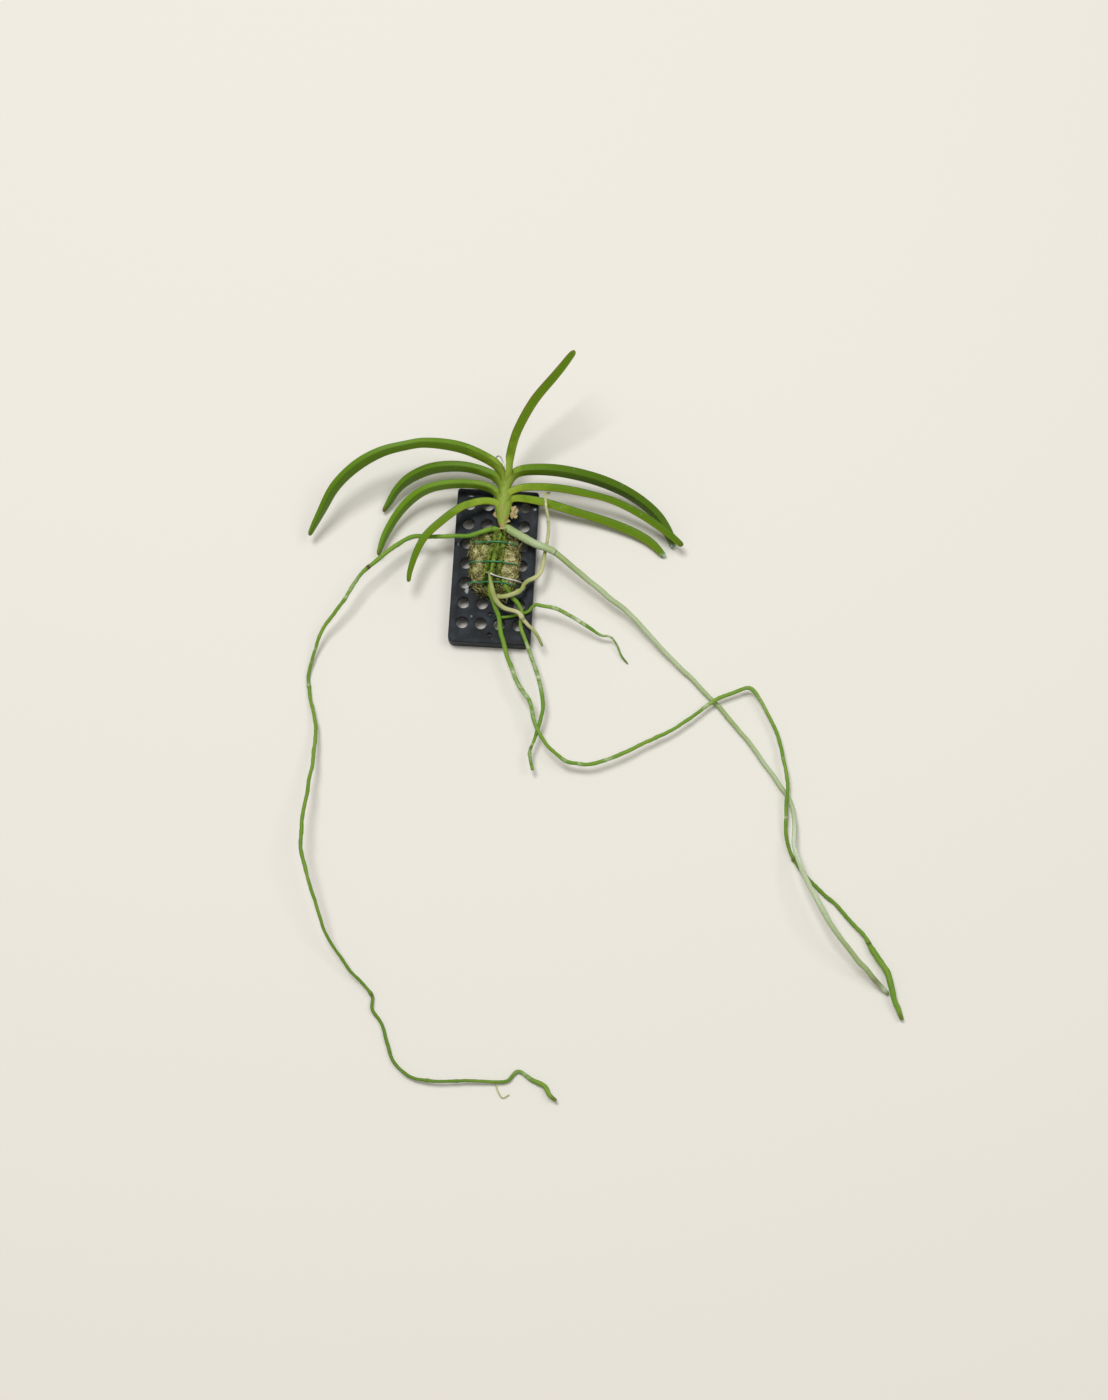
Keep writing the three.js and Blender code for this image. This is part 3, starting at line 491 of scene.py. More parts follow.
def grain(points, size, seed):
    """Noise from -1 to 1: random numbers on a lattice of cells, blended smoothly between corners."""
    table = np.random.default_rng(seed).uniform(-1, 1, (32, 32, 32))
    place = np.asarray(points, float) / size
    cell = np.floor(place).astype(int)
    part = place - cell
    part = part * part * (3 - 2 * part)
    total = np.zeros(place.shape[:-1])
    for corner in np.ndindex(2, 2, 2):
        at = (cell + corner) % 32
        weight = np.prod(np.abs(1 - np.array(corner) - part), axis=-1)
        total += table[at[..., 0], at[..., 1], at[..., 2]] * weight
    return total


def route(points):
    """Centripetal Catmull-Rom curve: in each span a cubic whose end slopes come from the uneven
    spacing of the four nearest points. Gives close samples and their distances from the start."""
    p = np.array(points, float)
    p = np.vstack([2 * p[0] - p[1], p, 2 * p[-1] - p[-2]])
    gap = np.linalg.norm(np.diff(p, axis=0), axis=1, keepdims=True) ** 0.5
    a, b, c = gap[:-2], gap[1:-1], gap[2:]
    p0, p1, p2, p3 = p[:-3], p[1:-2], p[2:-1], p[3:]
    m1 = b * ((p1 - p0) / a - (p2 - p0) / (a + b) + (p2 - p1) / b)
    m2 = b * ((p2 - p1) / b - (p3 - p1) / (b + c) + (p3 - p2) / c)
    t = np.linspace(0, 1, 65)[:-1, None, None]
    spans = p1 + m1 * t + (3 * (p2 - p1) - 2 * m1 - m2) * t**2 + (2 * (p1 - p2) + m1 + m2) * t**3
    samples = np.vstack([spans.transpose(1, 0, 2).reshape(-1, 3), p2[-1:]])
    distance = np.r_[0, np.cumsum(np.linalg.norm(np.diff(samples, axis=0), axis=1))]
    return samples, distance


def sample(samples, distance, at):
    """Points of a route at the given distances."""
    return np.column_stack([np.interp(at, distance, samples[:, k]) for k in range(3)])


def stations(length, step, first, last):
    """Distances for rings: even steps, with closer ones that round off the first and last lengths."""
    turn = 1 - np.cos(np.radians([22, 42, 60, 76]))
    middle = np.linspace(first, length - last, max(3, int((length - first - last) / step) + 1))
    return np.r_[first * turn, middle, length - last * turn[::-1]]


def rounding(at, length, first, last):
    """Share of the full width near rounded ends: the root of 1 minus the squared remaining share."""
    left = 1 - np.clip(at / first, 0, 1)
    right = 1 - np.clip((length - at) / last, 0, 1)
    return np.sqrt(np.maximum(0, 1 - left**2) * np.maximum(0, 1 - right**2))


def turns(sides):
    """Even angles round a circle."""
    return np.arange(sides) * 2 * np.pi / sides


def lifted(x, y):
    """Places on a level plane, as points to look up noise at."""
    return np.stack([x, y, 0 * x], -1)


def crossways(spine):
    """Way of each ring, and its cross directions: level and as far up as can be."""
    way = unit(np.gradient(spine, axis=0))
    sideways = unit(np.cross((0.0, 0.0, 1.0), way))
    return way, sideways, np.cross(way, sideways)


def carried_frames(spine):
    """Two cross directions; each ring's first one is the last ring's, made square to the new way,
    so that the rod doesn't twist."""
    way = unit(np.gradient(spine, axis=0))
    start = np.cross(way[0], (0.0, 0.0, 1.0) if abs(way[0][2]) < 0.8 else (1.0, 0.0, 0.0))
    across = [start / np.linalg.norm(start)]
    for ahead in way[1:]:
        square = across[-1] - ahead * (across[-1] @ ahead)
        across.append(square / np.linalg.norm(square))
    across = np.array(across)
    return across, np.cross(way, across)


# ---- Meshes --------------------------------------------------------------------------------------


def weave(rows, cols):
    """Four-sided faces between neighbouring closed rings, with the row and column of each."""
    row, col = np.meshgrid(np.arange(rows - 1), np.arange(cols), indexing="ij")
    here, beside = row * cols + col, row * cols + (col + 1) % cols
    return row, col, np.stack([here, beside, beside + cols, here + cols], -1).reshape(-1, 4)


def shell(rings, ends, along, around, layers=None):
    """A closed skin over rings of corners: four-sided faces between neighbouring rings and a fan
    to a point at each end. along and around give the UV place in metres; layers are values at
    each corner."""
    rows, cols = rings.shape[:2]
    points = np.vstack([rings.reshape(-1, 3), ends])
    row, col, quads = weave(rows, cols)
    u = np.stack([along[row], along[row], along[row + 1], along[row + 1]], -1)
    v = np.stack([around[col], around[col + 1], around[col + 1], around[col]], -1)
    quad_uv = np.stack([u, v], -1).reshape(-1, 4, 2)
    edge = np.arange(cols)
    after = (edge + 1) % cols
    last = (rows - 1) * cols
    fans = np.vstack([np.stack([np.full(cols, rows * cols), after, edge], -1),
                      np.stack([np.full(cols, rows * cols + 1), last + edge, last + after], -1)])
    middle = (around[:-1] + around[1:]) / 2
    near = np.stack([middle, around[1:], around[:-1]], -1)
    far = np.stack([middle, around[:-1], around[1:]], -1)
    fan_u = np.repeat([along[0], along[-1]], cols)[:, None].repeat(3, 1)
    fan_uv = np.stack([fan_u, np.vstack([near, far])], -1)
    values = {}
    for key, value in (layers or {}).items():
        full = np.broadcast_to(value, (rows, cols))
        values[key] = np.r_[full.ravel(), full[0].mean(), full[-1].mean()]
    return points, [quads, fans], [quad_uv, fan_uv], values


def settle(mesh, material, slot, nodes, sharp=None):
    """One object from a mesh, riding on the root body in place of the given nodes. It is smooth,
    but for edges that turn by more than sharp, in degrees."""
    mesh.polygons.foreach_set("use_smooth", np.ones(len(mesh.polygons), bool))
    if sharp:
        mesh.set_sharp_from_angle(angle=np.radians(sharp))
    mesh.materials.append(material)
    made = bpy.data.objects.new(mesh.name, mesh)
    bpy.context.collection.objects.link(made)
    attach(made, "root")
    if nodes:
        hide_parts(*nodes)


def piece(name, shells, material, slot, nodes):
    """One object from shells, with their faces turned outwards."""
    start, loops, sizes, spread = 0, [], [], []
    for points, faces, places, _ in shells:
        volume = 0
        for face in faces:
            for k in range(1, face.shape[1] - 1):
                a, b, c = points[face[:, 0]], points[face[:, k]], points[face[:, k + 1]]
                volume += np.einsum("ij,ij->", a, np.cross(b, c))
        turn = slice(None, None, -1) if volume < 0 else slice(None)
        for face, place in zip(faces, places):
            loops.append((face[:, turn] + start).ravel())
            spread.append(place[:, turn].reshape(-1, 2))
            sizes.append(np.full(len(face), face.shape[1]))
        start += len(points)
    sizes = np.concatenate(sizes)
    mesh = bpy.data.meshes.new(name)
    mesh.vertices.add(start)
    mesh.vertices.foreach_set("co", (np.vstack([s[0] for s in shells]) * MM).ravel())
    mesh.loops.add(int(sizes.sum()))
    mesh.loops.foreach_set("vertex_index", np.concatenate(loops))
    mesh.polygons.add(len(sizes))
    mesh.polygons.foreach_set("loop_start", np.r_[0, np.cumsum(sizes)[:-1]])
    mesh.update(calc_edges=True)
    mesh.uv_layers.new(name="UVMap").data.foreach_set("uv", np.vstack(spread).ravel())
    for key in shells[0][3]:
        layer = mesh.attributes.new(key, "FLOAT", "POINT")
        layer.data.foreach_set("value", np.concatenate([s[3][key] for s in shells]))
    settle(mesh, material, slot, nodes)


def rod(points, radius, step, sides, relief=None, layers=None, sway=0.0):
    """A round rod: at distance s and angle a the skin is the route's point plus radius(s, a) times
    cos a of one cross direction and sin a of the other. Both ends are rounded, and sway is how far
    slow noise moves the way aside."""
    samples, distance = route(points)
    length = distance[-1]
    first, last = (float(radius(np.array([end]))[0]) for end in (0.0, length))
    at = stations(length, step, first, last)
    spine = sample(samples, distance, at)
    row = lifted(at, 0 * at)
    aside = sway * smooth(at, 0, 12) * smooth(length - at, 0, 12)
    spine[:, :2] += aside[:, None] * np.column_stack([grain(row, 7.0, 91), grain(row + 40, 7.0, 92)])
    across, outward = carried_frames(spine)
    angle = turns(sides)
    spokes = np.cos(angle)[:, None] * across[:, None] + np.sin(angle)[:, None] * outward[:, None]
    reach = radius(at)[:, None] + (relief(at, spine[:, None] + spokes) if relief else 0)
    rings = spine[:, None] + spokes * (reach * rounding(at, length, first, last)[:, None])[..., None]
    values = {key: value(at)[:, None] for key, value in (layers or {}).items()}
    around = np.arange(sides + 1) / sides * 2 * np.pi * float(np.mean(radius(at))) * MM
    return shell(rings, samples[[0, -1]], at * MM, around, values)


# ---- Materials -----------------------------------------------------------------------------------


# Each noise's scale is how many of its cells fit in a metre: 90 gives cells of 11 mm, 1500 of 0.7 mm.
# The layers are values that the corners of a leaf's or a root's skin carry for its material.
LEAF_LAYERS = ("along", "across", "clasp", "inner", "pale", "brown", "rosy", "papery", "shade")
ROOT_LAYERS = ("pale", "dark", "green")


def dressed(material, **values):
    """The material with constants or links on its shader's sockets."""
    shader = material.node_tree.nodes["Principled BSDF"]
    for key, value in values.items():
        fill(material.node_tree, shader.inputs[key.replace("_", " ")], value)
    return material


def new_surface(name, **constants):
    """A new material, its tree, and places on the object and on its skin."""
    material = bpy.data.materials.new(name)
    material.use_nodes = True
    places = add(material.node_tree, "TexCoord").node.outputs
    return dressed(material, **constants), material.node_tree, places["Object"], places["UV"]


def moulded_plastic(settings):
    """Injection-moulded polypropylene: dull slate black, finely scuffed, with chalky lime spots."""
    material, tree, place, _ = new_surface("black_plastic_moulded", Specular_IOR_Level=0.12)
    scuff = add(tree, "TexNoise", place, 90, 6, 0.65)
    cloud = add(tree, "TexNoise", place, 150, 3)
    flake = add(tree, "TexNoise", place, 650, 5, 0.7)
    fine = add(tree, "TexNoise", place, 900, 3)
    fresh = add(tree, "Mix", scuff, settings.plastic, "#20252a")
    worn = add(tree, "MapRange", cloud, 0.45, 0.7, 0, 0.8)
    tone_and_painted_shade = add(tree, "Mix", worn, fresh, "#2d363e")
    deposit = 0
    for x, y, wide, tall, strength in LIME_SPOTS:
        near = add(tree, "Mapping", place, (wide * MM, tall * MM, 4 * MM),
                   (x * MM, y * MM, PLAQUE["height"] * MM), vector_type="TEXTURE")
        away = add(tree, "VectorMath", near, operation="LENGTH")
        here = add(tree, "MapRange", away, 1.3, 0.2, 0, strength)
        deposit = add(tree, "Math", deposit, here, operation="MAXIMUM")
    broken = add(tree, "Math", deposit, flake, operation="MULTIPLY")
    crust = add(tree, "MapRange", broken, 0.3, 0.52)
    dust = add(tree, "MapRange", fine, 0.66, 0.8, 0, 0.2)
    chalk = add(tree, "Math", crust, dust, operation="MAXIMUM")
    return dressed(material, Base_Color=add(tree, "Mix", chalk, tone_and_painted_shade, "#a9b0af"),
                   Roughness=add(tree, "MapRange", scuff, 0, 1, 0.38, 0.62),
                   Normal=add(tree, "Bump", fine, 0.25, 0.1 * MM))


def coated_thread(settings):
    """Plastic-coated garden wire: smooth dark green skin with a soft shine."""
    material, tree, place, _ = new_surface("coated_tie_plastic", Roughness=0.34)
    wear = add(tree, "TexNoise", place, 400, 3)
    return dressed(material, Base_Color=add(tree, "Mix", wear, settings.tie, "#2c8a5c"),
                   Normal=add(tree, "Bump", wear, 0.2, 0.1 * MM))


def galvanised_steel():
    """Zinc-coated steel wire: pale grey metal, satin, with duller weathered patches."""
    material, tree, place, _ = new_surface("galvanised_wire_zinc", Metallic=0.85)
    wear = add(tree, "TexNoise", place, 260, 4)
    return dressed(material, Base_Color=add(tree, "Mix", wear, "#a4a8a8", "#f2f3f0"),
                   Roughness=add(tree, "MapRange", wear, 0, 1, 0.35, 0.6))


def dry_sphagnum():
    """Dry sphagnum: cream and straw strands with green algae. Each strand's straw shade is partly its
    own and partly painted shade, darker where it lies deep among the others; green is how much
    algae it carries."""
    material, tree, place, _ = new_surface("dry_moss_sphagnum", Roughness=0.9, Specular_IOR_Level=0.2)
    tone_and_painted_shade = add(tree, "Attribute", attribute_name="tone_and_painted_shade")
    green = add(tree, "Attribute", attribute_name="green")
    # The dark end of both ramps is painted shade deep among the strands.
    straws = [(0, "#252410"), (0.2, "#605a2f"), (0.45, "#99925a"), (0.75, "#c3bc86"), (1, "#e3dcb0")]
    straw = add(tree, "ValToRGB", tone_and_painted_shade, stops=straws)
    algae = add(tree, "Mix", tone_and_painted_shade, "#2f400a", "#8fa43a")
    fine = add(tree, "TexNoise", place, 1500, 3)
    return dressed(material, Base_Color=add(tree, "Mix", green, straw, algae),
                   Normal=add(tree, "Bump", fine, 0.5, 0.3 * MM))


def leaf_tissue(settings):
    """Living strap leaf: a thick waxy skin over firm green tissue. along runs from axil to tip,
    across from keel to margin; clasp, inner, pale, brown, rosy and papery say where it is sheath,
    channel side, bleached, dead, flushed or dried at the sheath's margin. shade is painted light:
    it makes each leaf's green lighter or darker for how the light falls on it."""
    material, tree, place, skin = new_surface("leaf_green_cuticle", Specular_IOR_Level=0.16)
    value = {key: add(tree, "Attribute", attribute_name=key) for key in LEAF_LAYERS}
    mottle = add(tree, "TexNoise", place, 95, 4, 0.6)
    drift = add(tree, "Math", mottle, 0.5, operation="SUBTRACT")
    shifted = add(tree, "Math", drift, 0.42, value["along"], operation="MULTIPLY_ADD")
    greens = [(0, settings.leaf_base), (0.06, "#85a12c"), (0.16, "#648517"), (0.6, settings.leaf_blade),
              (1, "#5b7c20")]
    blade = add(tree, "ValToRGB", shifted, stops=greens)
    fold = add(tree, "MapRange", value["across"], 0.16, 0, 0, 0.28)
    keel = add(tree, "Mix", fold, blade, "#93902c")
    # Darker margin: partly the leaf's own darker edge, partly painted shade where the rounded blade turns
    # away from the light.
    edge = add(tree, "MapRange", value["across"], 0.84, 0.98, 0, 0.7)
    rim = add(tree, "Mix", edge, keel, "#44600f")
    # The channel side is a lighter green: partly its own waxy bloom, partly painted sheen, as that side
    # mostly faces the light.
    bloom_and_painted_sheen = add(tree, "Math", value["inner"], 0.2, operation="MULTIPLY")
    channel = add(tree, "Mix", bloom_and_painted_sheen, rim, "#6a9418")
    papery = add(tree, "Mix", value["papery"], settings.sheath, "#ae9162")
    sheath = add(tree, "Mix", value["clasp"], channel, papery)
    veins = add(tree, "Mapping", skin, (60, 2600, 1))
    stripe = add(tree, "TexNoise", veins, 1, 2)
    ribbed = add(tree, "MapRange", stripe, 0.35, 0.65, 0.985, 1.015)
    # Painted light: each leaf's green is made lighter or darker by its shade, for how the light falls on it.
    ribbed_and_painted_light = add(tree, "Math", ribbed, value["shade"], operation="MULTIPLY")
    striped = add(tree, "HueSaturation", sheath, ribbed_and_painted_light)
    rosy = add(tree, "Mix", value["rosy"], striped, "#7d6a26")
    speck = add(tree, "TexVoronoi", place, 700)
    chosen = add(tree, "SeparateColor", speck.node.outputs["Color"])
    rare = add(tree, "MapRange", chosen, 0.95, 0.97)
    dot = add(tree, "MapRange", speck, 0.22, 0.1, 0, 0.45)
    dust = add(tree, "Math", rare, dot, operation="MULTIPLY")
    specked = add(tree, "Mix", dust, rosy, "#dfe6d4")
    flecks = add(tree, "TexNoise", place, 700, 3)
    bleach = add(tree, "MapRange", flecks, 0.35, 0.6)
    bleached = add(tree, "Math", value["pale"], bleach, operation="MULTIPLY")
    pale = add(tree, "Mix", bleached, specked, "#a9c4b8")
    relief = add(tree, "Math", stripe, mottle, operation="ADD")
    return dressed(material, Base_Color=add(tree, "Mix", value["brown"], pale, "#6d5327"),
                   Roughness=add(tree, "MapRange", mottle, 0, 1, 0.36, 0.52),
                   Normal=add(tree, "Bump", relief, 0.07, 0.3 * MM))


def velamen(name, dry, damp, chalk, streaks, roughness, flecked=True):
    """Aerial root skin: a spongy sleeve, silvery where dry and green where damp, with fine
    lengthwise streaks. pale, dark and green are the root's own marks, but for a few pale ones that
    are painted highlights. Where it is flecked, dry air shows in its cells as small white flecks and
    not as streaks."""
    material, tree, place, skin = new_surface(name, Roughness=roughness, Specular_IOR_Level=0.22)
    mark = {key: add(tree, "Attribute", attribute_name=key) for key in ROOT_LAYERS}
    long = add(tree, "Mapping", skin, (90, 700, 1))
    streak = add(tree, "TexNoise", long, 1, 4, 0.6)
    broad = add(tree, "TexNoise", place, 55, 3)
    mixed = add(tree, "Math", streak, streaks, broad, operation="MULTIPLY_ADD")
    wet = add(tree, "MapRange", mixed, 0.35 + streaks * 0.4, 0.65 + streaks * 0.6)
    soaked = add(tree, "Math", wet, mark["green"], operation="ADD", use_clamp=True)
    base = add(tree, "Mix", soaked, dry, damp)
    fine = add(tree, "TexNoise", place, 1100, 3)
    fleck = add(tree, "TexNoise", place, 620, 3)
    bounds = (fleck, 0.33, 0.7) if flecked else (streak, 0.3, 0.58)
    # The pale marks whiten the skin: mostly its own whitish velamen, at a few marks painted highlight and
    # sheen.
    pale_and_painted_highlight = add(tree, "Math", mark["pale"], add(tree, "MapRange", *bounds), operation="MULTIPLY")
    whitened = add(tree, "Mix", pale_and_painted_highlight, base, chalk)
    browned = add(tree, "Mix", mark["dark"], whitened, "#46361a")
    speckle = add(tree, "MapRange", fine, 0.3, 0.7, 0.92, 1.06)
    relief = add(tree, "Math", streak, fine, operation="ADD")
    return dressed(material, Base_Color=add(tree, "HueSaturation", browned, speckle),
                   Normal=add(tree, "Bump", relief, 0.35, 0.3 * MM))


def papery_bract():
    """Dried leaf sheath: thin, brittle, straw brown with darker lengthwise fibres."""
    material, tree, _, skin = new_surface("dried_bract_paper", Roughness=0.8, Specular_IOR_Level=0.3)
    fibre = add(tree, "TexNoise", add(tree, "Mapping", skin, (150, 1500, 1)), 1, 4)
    shade = add(tree, "MapRange", fibre, 0.3, 0.7)
    return dressed(material, Base_Color=add(tree, "Mix", shade, "#7d6534", "#dccb98"),
                   Normal=add(tree, "Bump", fibre, 0.5, 0.3 * MM))


# ---- Holder --------------------------------------------------------------------------------------


def plaque_ring(inset, z):
    """A rounded rectangle set in by inset: each corner is a quarter circle whose centre is its own
    radius plus the inset away from both edges."""
    half, ring = PLAQUE["width"] / 2, []
    for turn, (right, end) in enumerate(((1, "upper"), (-1, "upper"), (-1, "lower"), (1, "lower"))):
        radius = max(PLAQUE[end + "_corner"] - inset, 0.3)
        along = 1 if end == "upper" else -1
        centre = np.array([right * half - right * (inset + radius), PLAQUE[end] - along * (inset + radius)])
        angle = np.radians(np.linspace(90 * turn, 90 * turn + 90, 11))
        ring.append(centre + radius * np.column_stack([np.cos(angle), np.sin(angle)]))
    ring = np.vstack(ring)
    return np.column_stack([ring, np.full(len(ring), z)])


def hole_list():
    """Centre, radius and number of sides of every round hole."""
    columns = (np.arange(HOLES["columns"]) - (HOLES["columns"] - 1) / 2) * HOLES["across"]
    rows = HOLES["first"] + np.arange(HOLES["rows"]) * HOLES["along"]
    holes = [(x, y, HOLES["radius"], HOLES["sides"]) for y in rows for x in columns]
    return holes + [(0, y, SMALL_HOLES["radius"], SMALL_HOLES["sides"]) for y in SMALL_HOLES["along"]]


def circle(x, y, z, radius, sides):
    """Points round a level circle."""
    angle = turns(sides)
    return np.column_stack([x + radius * np.cos(angle), y + radius * np.sin(angle), np.full(sides, z)])


def band(rings):
    """Four-sided faces between neighbouring closed rings, without end caps."""
    return np.vstack(rings), weave(len(rings), len(rings[0]))[2][:, [0, 3, 2, 1]]


def perforated_face(outline, rims, holes, up):
    """A flat face filled with triangles between its outline and its holes' rims."""
    loops = [outline, *rims]
    points = np.vstack(loops)
    edges, start = [], 0
    for loop in loops:
        count = len(loop)
        edges += [(start + k, start + (k + 1) % count) for k in range(count)]
        start += count
    flat, _, faces, _, _, _ = delaunay_2d_cdt([Vector(p[:2]) for p in points], edges, [], 0, 1e-5)
    flat, faces = np.array([tuple(p) for p in flat]), np.array(faces)
    centre = flat[faces].mean(axis=1)
    away = np.array([np.hypot(*(centre - (x, y)).T) / radius for x, y, radius in holes])
    faces = faces[away.min(axis=0) > 1]
    a, b, c = (flat[faces[:, k]] for k in range(3))
    turn = (b[:, 0] - a[:, 0]) * (c[:, 1] - a[:, 1]) - (b[:, 1] - a[:, 1]) * (c[:, 0] - a[:, 0])
    real = np.abs(turn) > 1e-9
    faces, wrong = faces[real], (turn[real] > 0) != up
    faces[wrong] = faces[wrong][:, ::-1]
    return np.column_stack([flat, np.full(len(flat), points[0, 2])]), faces


def make_plaque(settings):
    """An upside-down tray: a perforated plate whose edge turns down into a skirt all round."""
    height, plate, rim, bevel = (PLAQUE[key] for key in ("height", "plate", "rim", "bevel"))
    quarter = np.radians(np.linspace(90, 0, 5))
    profile = [(bevel * (1 - np.cos(a)), height - bevel * (1 - np.sin(a))) for a in quarter]
    profile += [(-0.15, 0.5), (-0.05, 0.15), (0.3, 0), (rim - 0.4, 0), (rim - 0.1, 0.3), (rim, 3),
                (rim + 0.3, height - plate - 0.3), (rim + 0.9, height - plate)]
    parts = [band([plaque_ring(*step) for step in profile])]
    lip = 0.28
    holes = hole_list()
    for x, y, radius, sides in holes:
        steps = [(0, height - plate), (0, height - lip), (lip * 0.1, height - lip * 0.5),
                 (lip * 0.4, height - lip * 0.15), (lip, height)]
        parts.append(band([circle(x, y, z, radius + grow, sides) for grow, z in steps]))
    for inset, z, grow, up in ((bevel, height, lip, True), (rim + 0.9, height - plate, 0, False)):
        rims = [circle(x, y, z, radius + grow, sides) for x, y, radius, sides in holes]
        grown = [(x, y, radius + grow) for x, y, radius, _ in holes]
        parts.append(perforated_face(plaque_ring(inset, z), rims, grown, up))
    start, faces = 0, []
    for points, corners in parts:
        faces += (corners + start).tolist()
        start += len(points)
    mesh = bpy.data.meshes.new("plaque_tray")
    mesh.from_pydata((np.vstack([points for points, _ in parts]) * MM).tolist(), [], faces)
    grid = bmesh.new()
    grid.from_mesh(mesh)
    bmesh.ops.remove_doubles(grid, verts=grid.verts, dist=1e-7)
    bmesh.ops.recalc_face_normals(grid, faces=grid.faces)
    grid.to_mesh(mesh)
    grid.free()
    settle(mesh, moulded_plastic(settings), "black_plastic", ["plaque"], sharp=16)


def moss_reach(angle):
    """Distance from the pad's centre to its outline in each direction, on a closed smooth curve."""
    ring = np.array([(x, y, 0) for x, y in MOSS_OUTLINE])
    samples, _ = route(np.vstack([ring[-2:], ring, ring[:2]]))
    off = samples[:, :2] - MOSS["centre"]
    turn = np.arctan2(off[:, 1], off[:, 0])
    order = np.argsort(turn)
    return np.interp(angle, turn[order], np.hypot(*off.T)[order], period=2 * np.pi)


def near_ties(y, reach):
    """How near a tie is: 1 on it, less with distance."""
    return sum(np.exp(-(((y - tie["y"]) / reach) ** 2)) for tie in TIES.values())


def moss_height(x, y):
    """Top of the pad: a flat cushion that rounds off towards its outline, dips at each tie, and is
    lumpy by two sizes of noise. Also gives how far out each place is, as a share of the outline."""
    off = np.stack([x - MOSS["centre"][0], y - MOSS["centre"][1]], -1)
    share = np.hypot(off[..., 0], off[..., 1]) / moss_reach(np.arctan2(off[..., 1], off[..., 0]))
    rise = np.sqrt(np.clip(1 - np.clip((share - 0.45) / 0.62, 0, 1) ** 2.6, 0, 1))
    lumps = 0.9 * grain(lifted(x, y), 3.8, 11) + 0.4 * grain(lifted(x, y), 1.5, 12)
    deep = MOSS["top"] - MOSS["bottom"] - 0.2
    return MOSS["bottom"] + (deep + lumps - 0.7 * near_ties(y, 1.3)) * rise, share


def algae(x, y):
    """Share of green: a band down the middle and scattered patches."""
    middle = np.exp(-(((x - 1.2 + (y - 39) * -0.06) / 3.6) ** 2))
    patches = smooth(grain(lifted(x, y), 5.0, 31), 0.15, 0.6)
    upper_left = 0.45 * np.exp(-(((x + 6.5) / 3.0) ** 2) - ((y - 46) / 4.0) ** 2)
    left = 0.18 * smooth(-x, 4, 8)
    return np.clip(0.75 * middle + 0.5 * patches + upper_left + left, 0, 1)


def moss_cushion():
    """The pad's body: rings from the middle of its flat underside, out round its side and in over
    its top. A ring's point is the centre plus a share of the outline's reach in that direction."""
    sides, bottom, centre = 150, MOSS["bottom"], np.array(MOSS["centre"])
    angle = turns(sides)
    way = np.column_stack([np.cos(angle), np.sin(angle)])
    under = [(0.3, bottom), (0.6, bottom), (0.85, bottom), (0.95, 8.7), (0.98, 9.6)]
    rings = []
    for share, z in under + [(share, None) for share in np.linspace(0.975, 0.03, 44)]:
        spot = centre + way * (share * moss_reach(angle))[:, None]
        level = moss_height(*spot.T)[0] - 0.25 if z is None else np.full(sides, z)
        rings.append(np.column_stack([spot, level]))
    rings = np.array(rings)
    rings[3:] += 0.4 * np.stack([grain(rings[3:], 2.0, seed) for seed in (21, 22, 23)], -1)
    rings[..., 2] = np.maximum(rings[..., 2], bottom)
    ends = np.array([[*centre, bottom], rings[-1].mean(axis=0)])
    # Painted shade: the pad's body is dark straw, so that the gaps between the strands look shaded.
    layers = {"tone_and_painted_shade": np.clip(0.16 + 0.16 * grain(rings, 1.2, 32), 0, 1),
              "green": algae(rings[..., 0], rings[..., 1])}
    return shell(rings, ends, np.linspace(0, 0.03, len(rings)), np.linspace(0, 0.09, sides + 1), layers)


def strand_skins(x, y, z, thick, tone_and_painted_shade, green):
    """Three-sided strands: each ring's corners stand a third of a turn apart round its spine."""
    spine = np.stack([x, y, z], -1)
    count, steps = x.shape
    way = unit(np.gradient(spine, axis=1))
    across = unit(np.cross(way, np.array([0.0, 0.0, 1.0])) + 1e-6)
    upward = np.cross(across, way)
    turn = np.radians([90, 210, 330])
    spokes = np.cos(turn)[:, None] * across[:, :, None] + np.sin(turn)[:, None] * upward[:, :, None]
    rings = spine[:, :, None] + spokes * thick[..., None, None]
    last = (steps - 1) * 3
    caps = np.array([[0, 2, 1], [last, last + 1, last + 2]])
    offset = (np.arange(count) * steps * 3)[:, None, None]
    faces = [(one + offset).reshape(-1, one.shape[1]) for one in (weave(steps, 3)[2], caps)]
    values = {key: np.broadcast_to(np.clip(value, 0, 1)[..., None], rings.shape[:3]).ravel()
              for key, value in (("tone_and_painted_shade", tone_and_painted_shade), ("green", green))}
    return rings.reshape(-1, 3), faces, [np.zeros((*face.shape, 2)) for face in faces], values


def drawing(seed, count):
    """A function that draws a column of seeded random numbers: even ones, or those of a kind."""
    rng = np.random.default_rng(seed)
    return lambda *values, kind="uniform": getattr(rng, kind)(*values, (count, 1))


def wander(draw, start, heading, length, bend, steps=9):
    """Level ways: each goes on along its heading, which turns by bend times the distance and by a
    slow wave of its own."""
    t = np.linspace(0, 1, steps)
    turned = heading + bend * length * t + 0.6 * np.sin(t * draw(3, 9) + draw(0, 6))
    ways = np.stack([np.cos(turned), np.sin(turned)])
    x, y = start.T[..., None] + np.cumsum(ways, axis=2) * (length / (steps - 1))
    return x, y, t


def tied_down(y, z, top):
    """Height limited to top, and to the pressed-in level near each tie."""
    return np.maximum(np.minimum(z, top - 1.2 * near_ties(y, 1.1)), MOSS["bottom"] + 0.3)


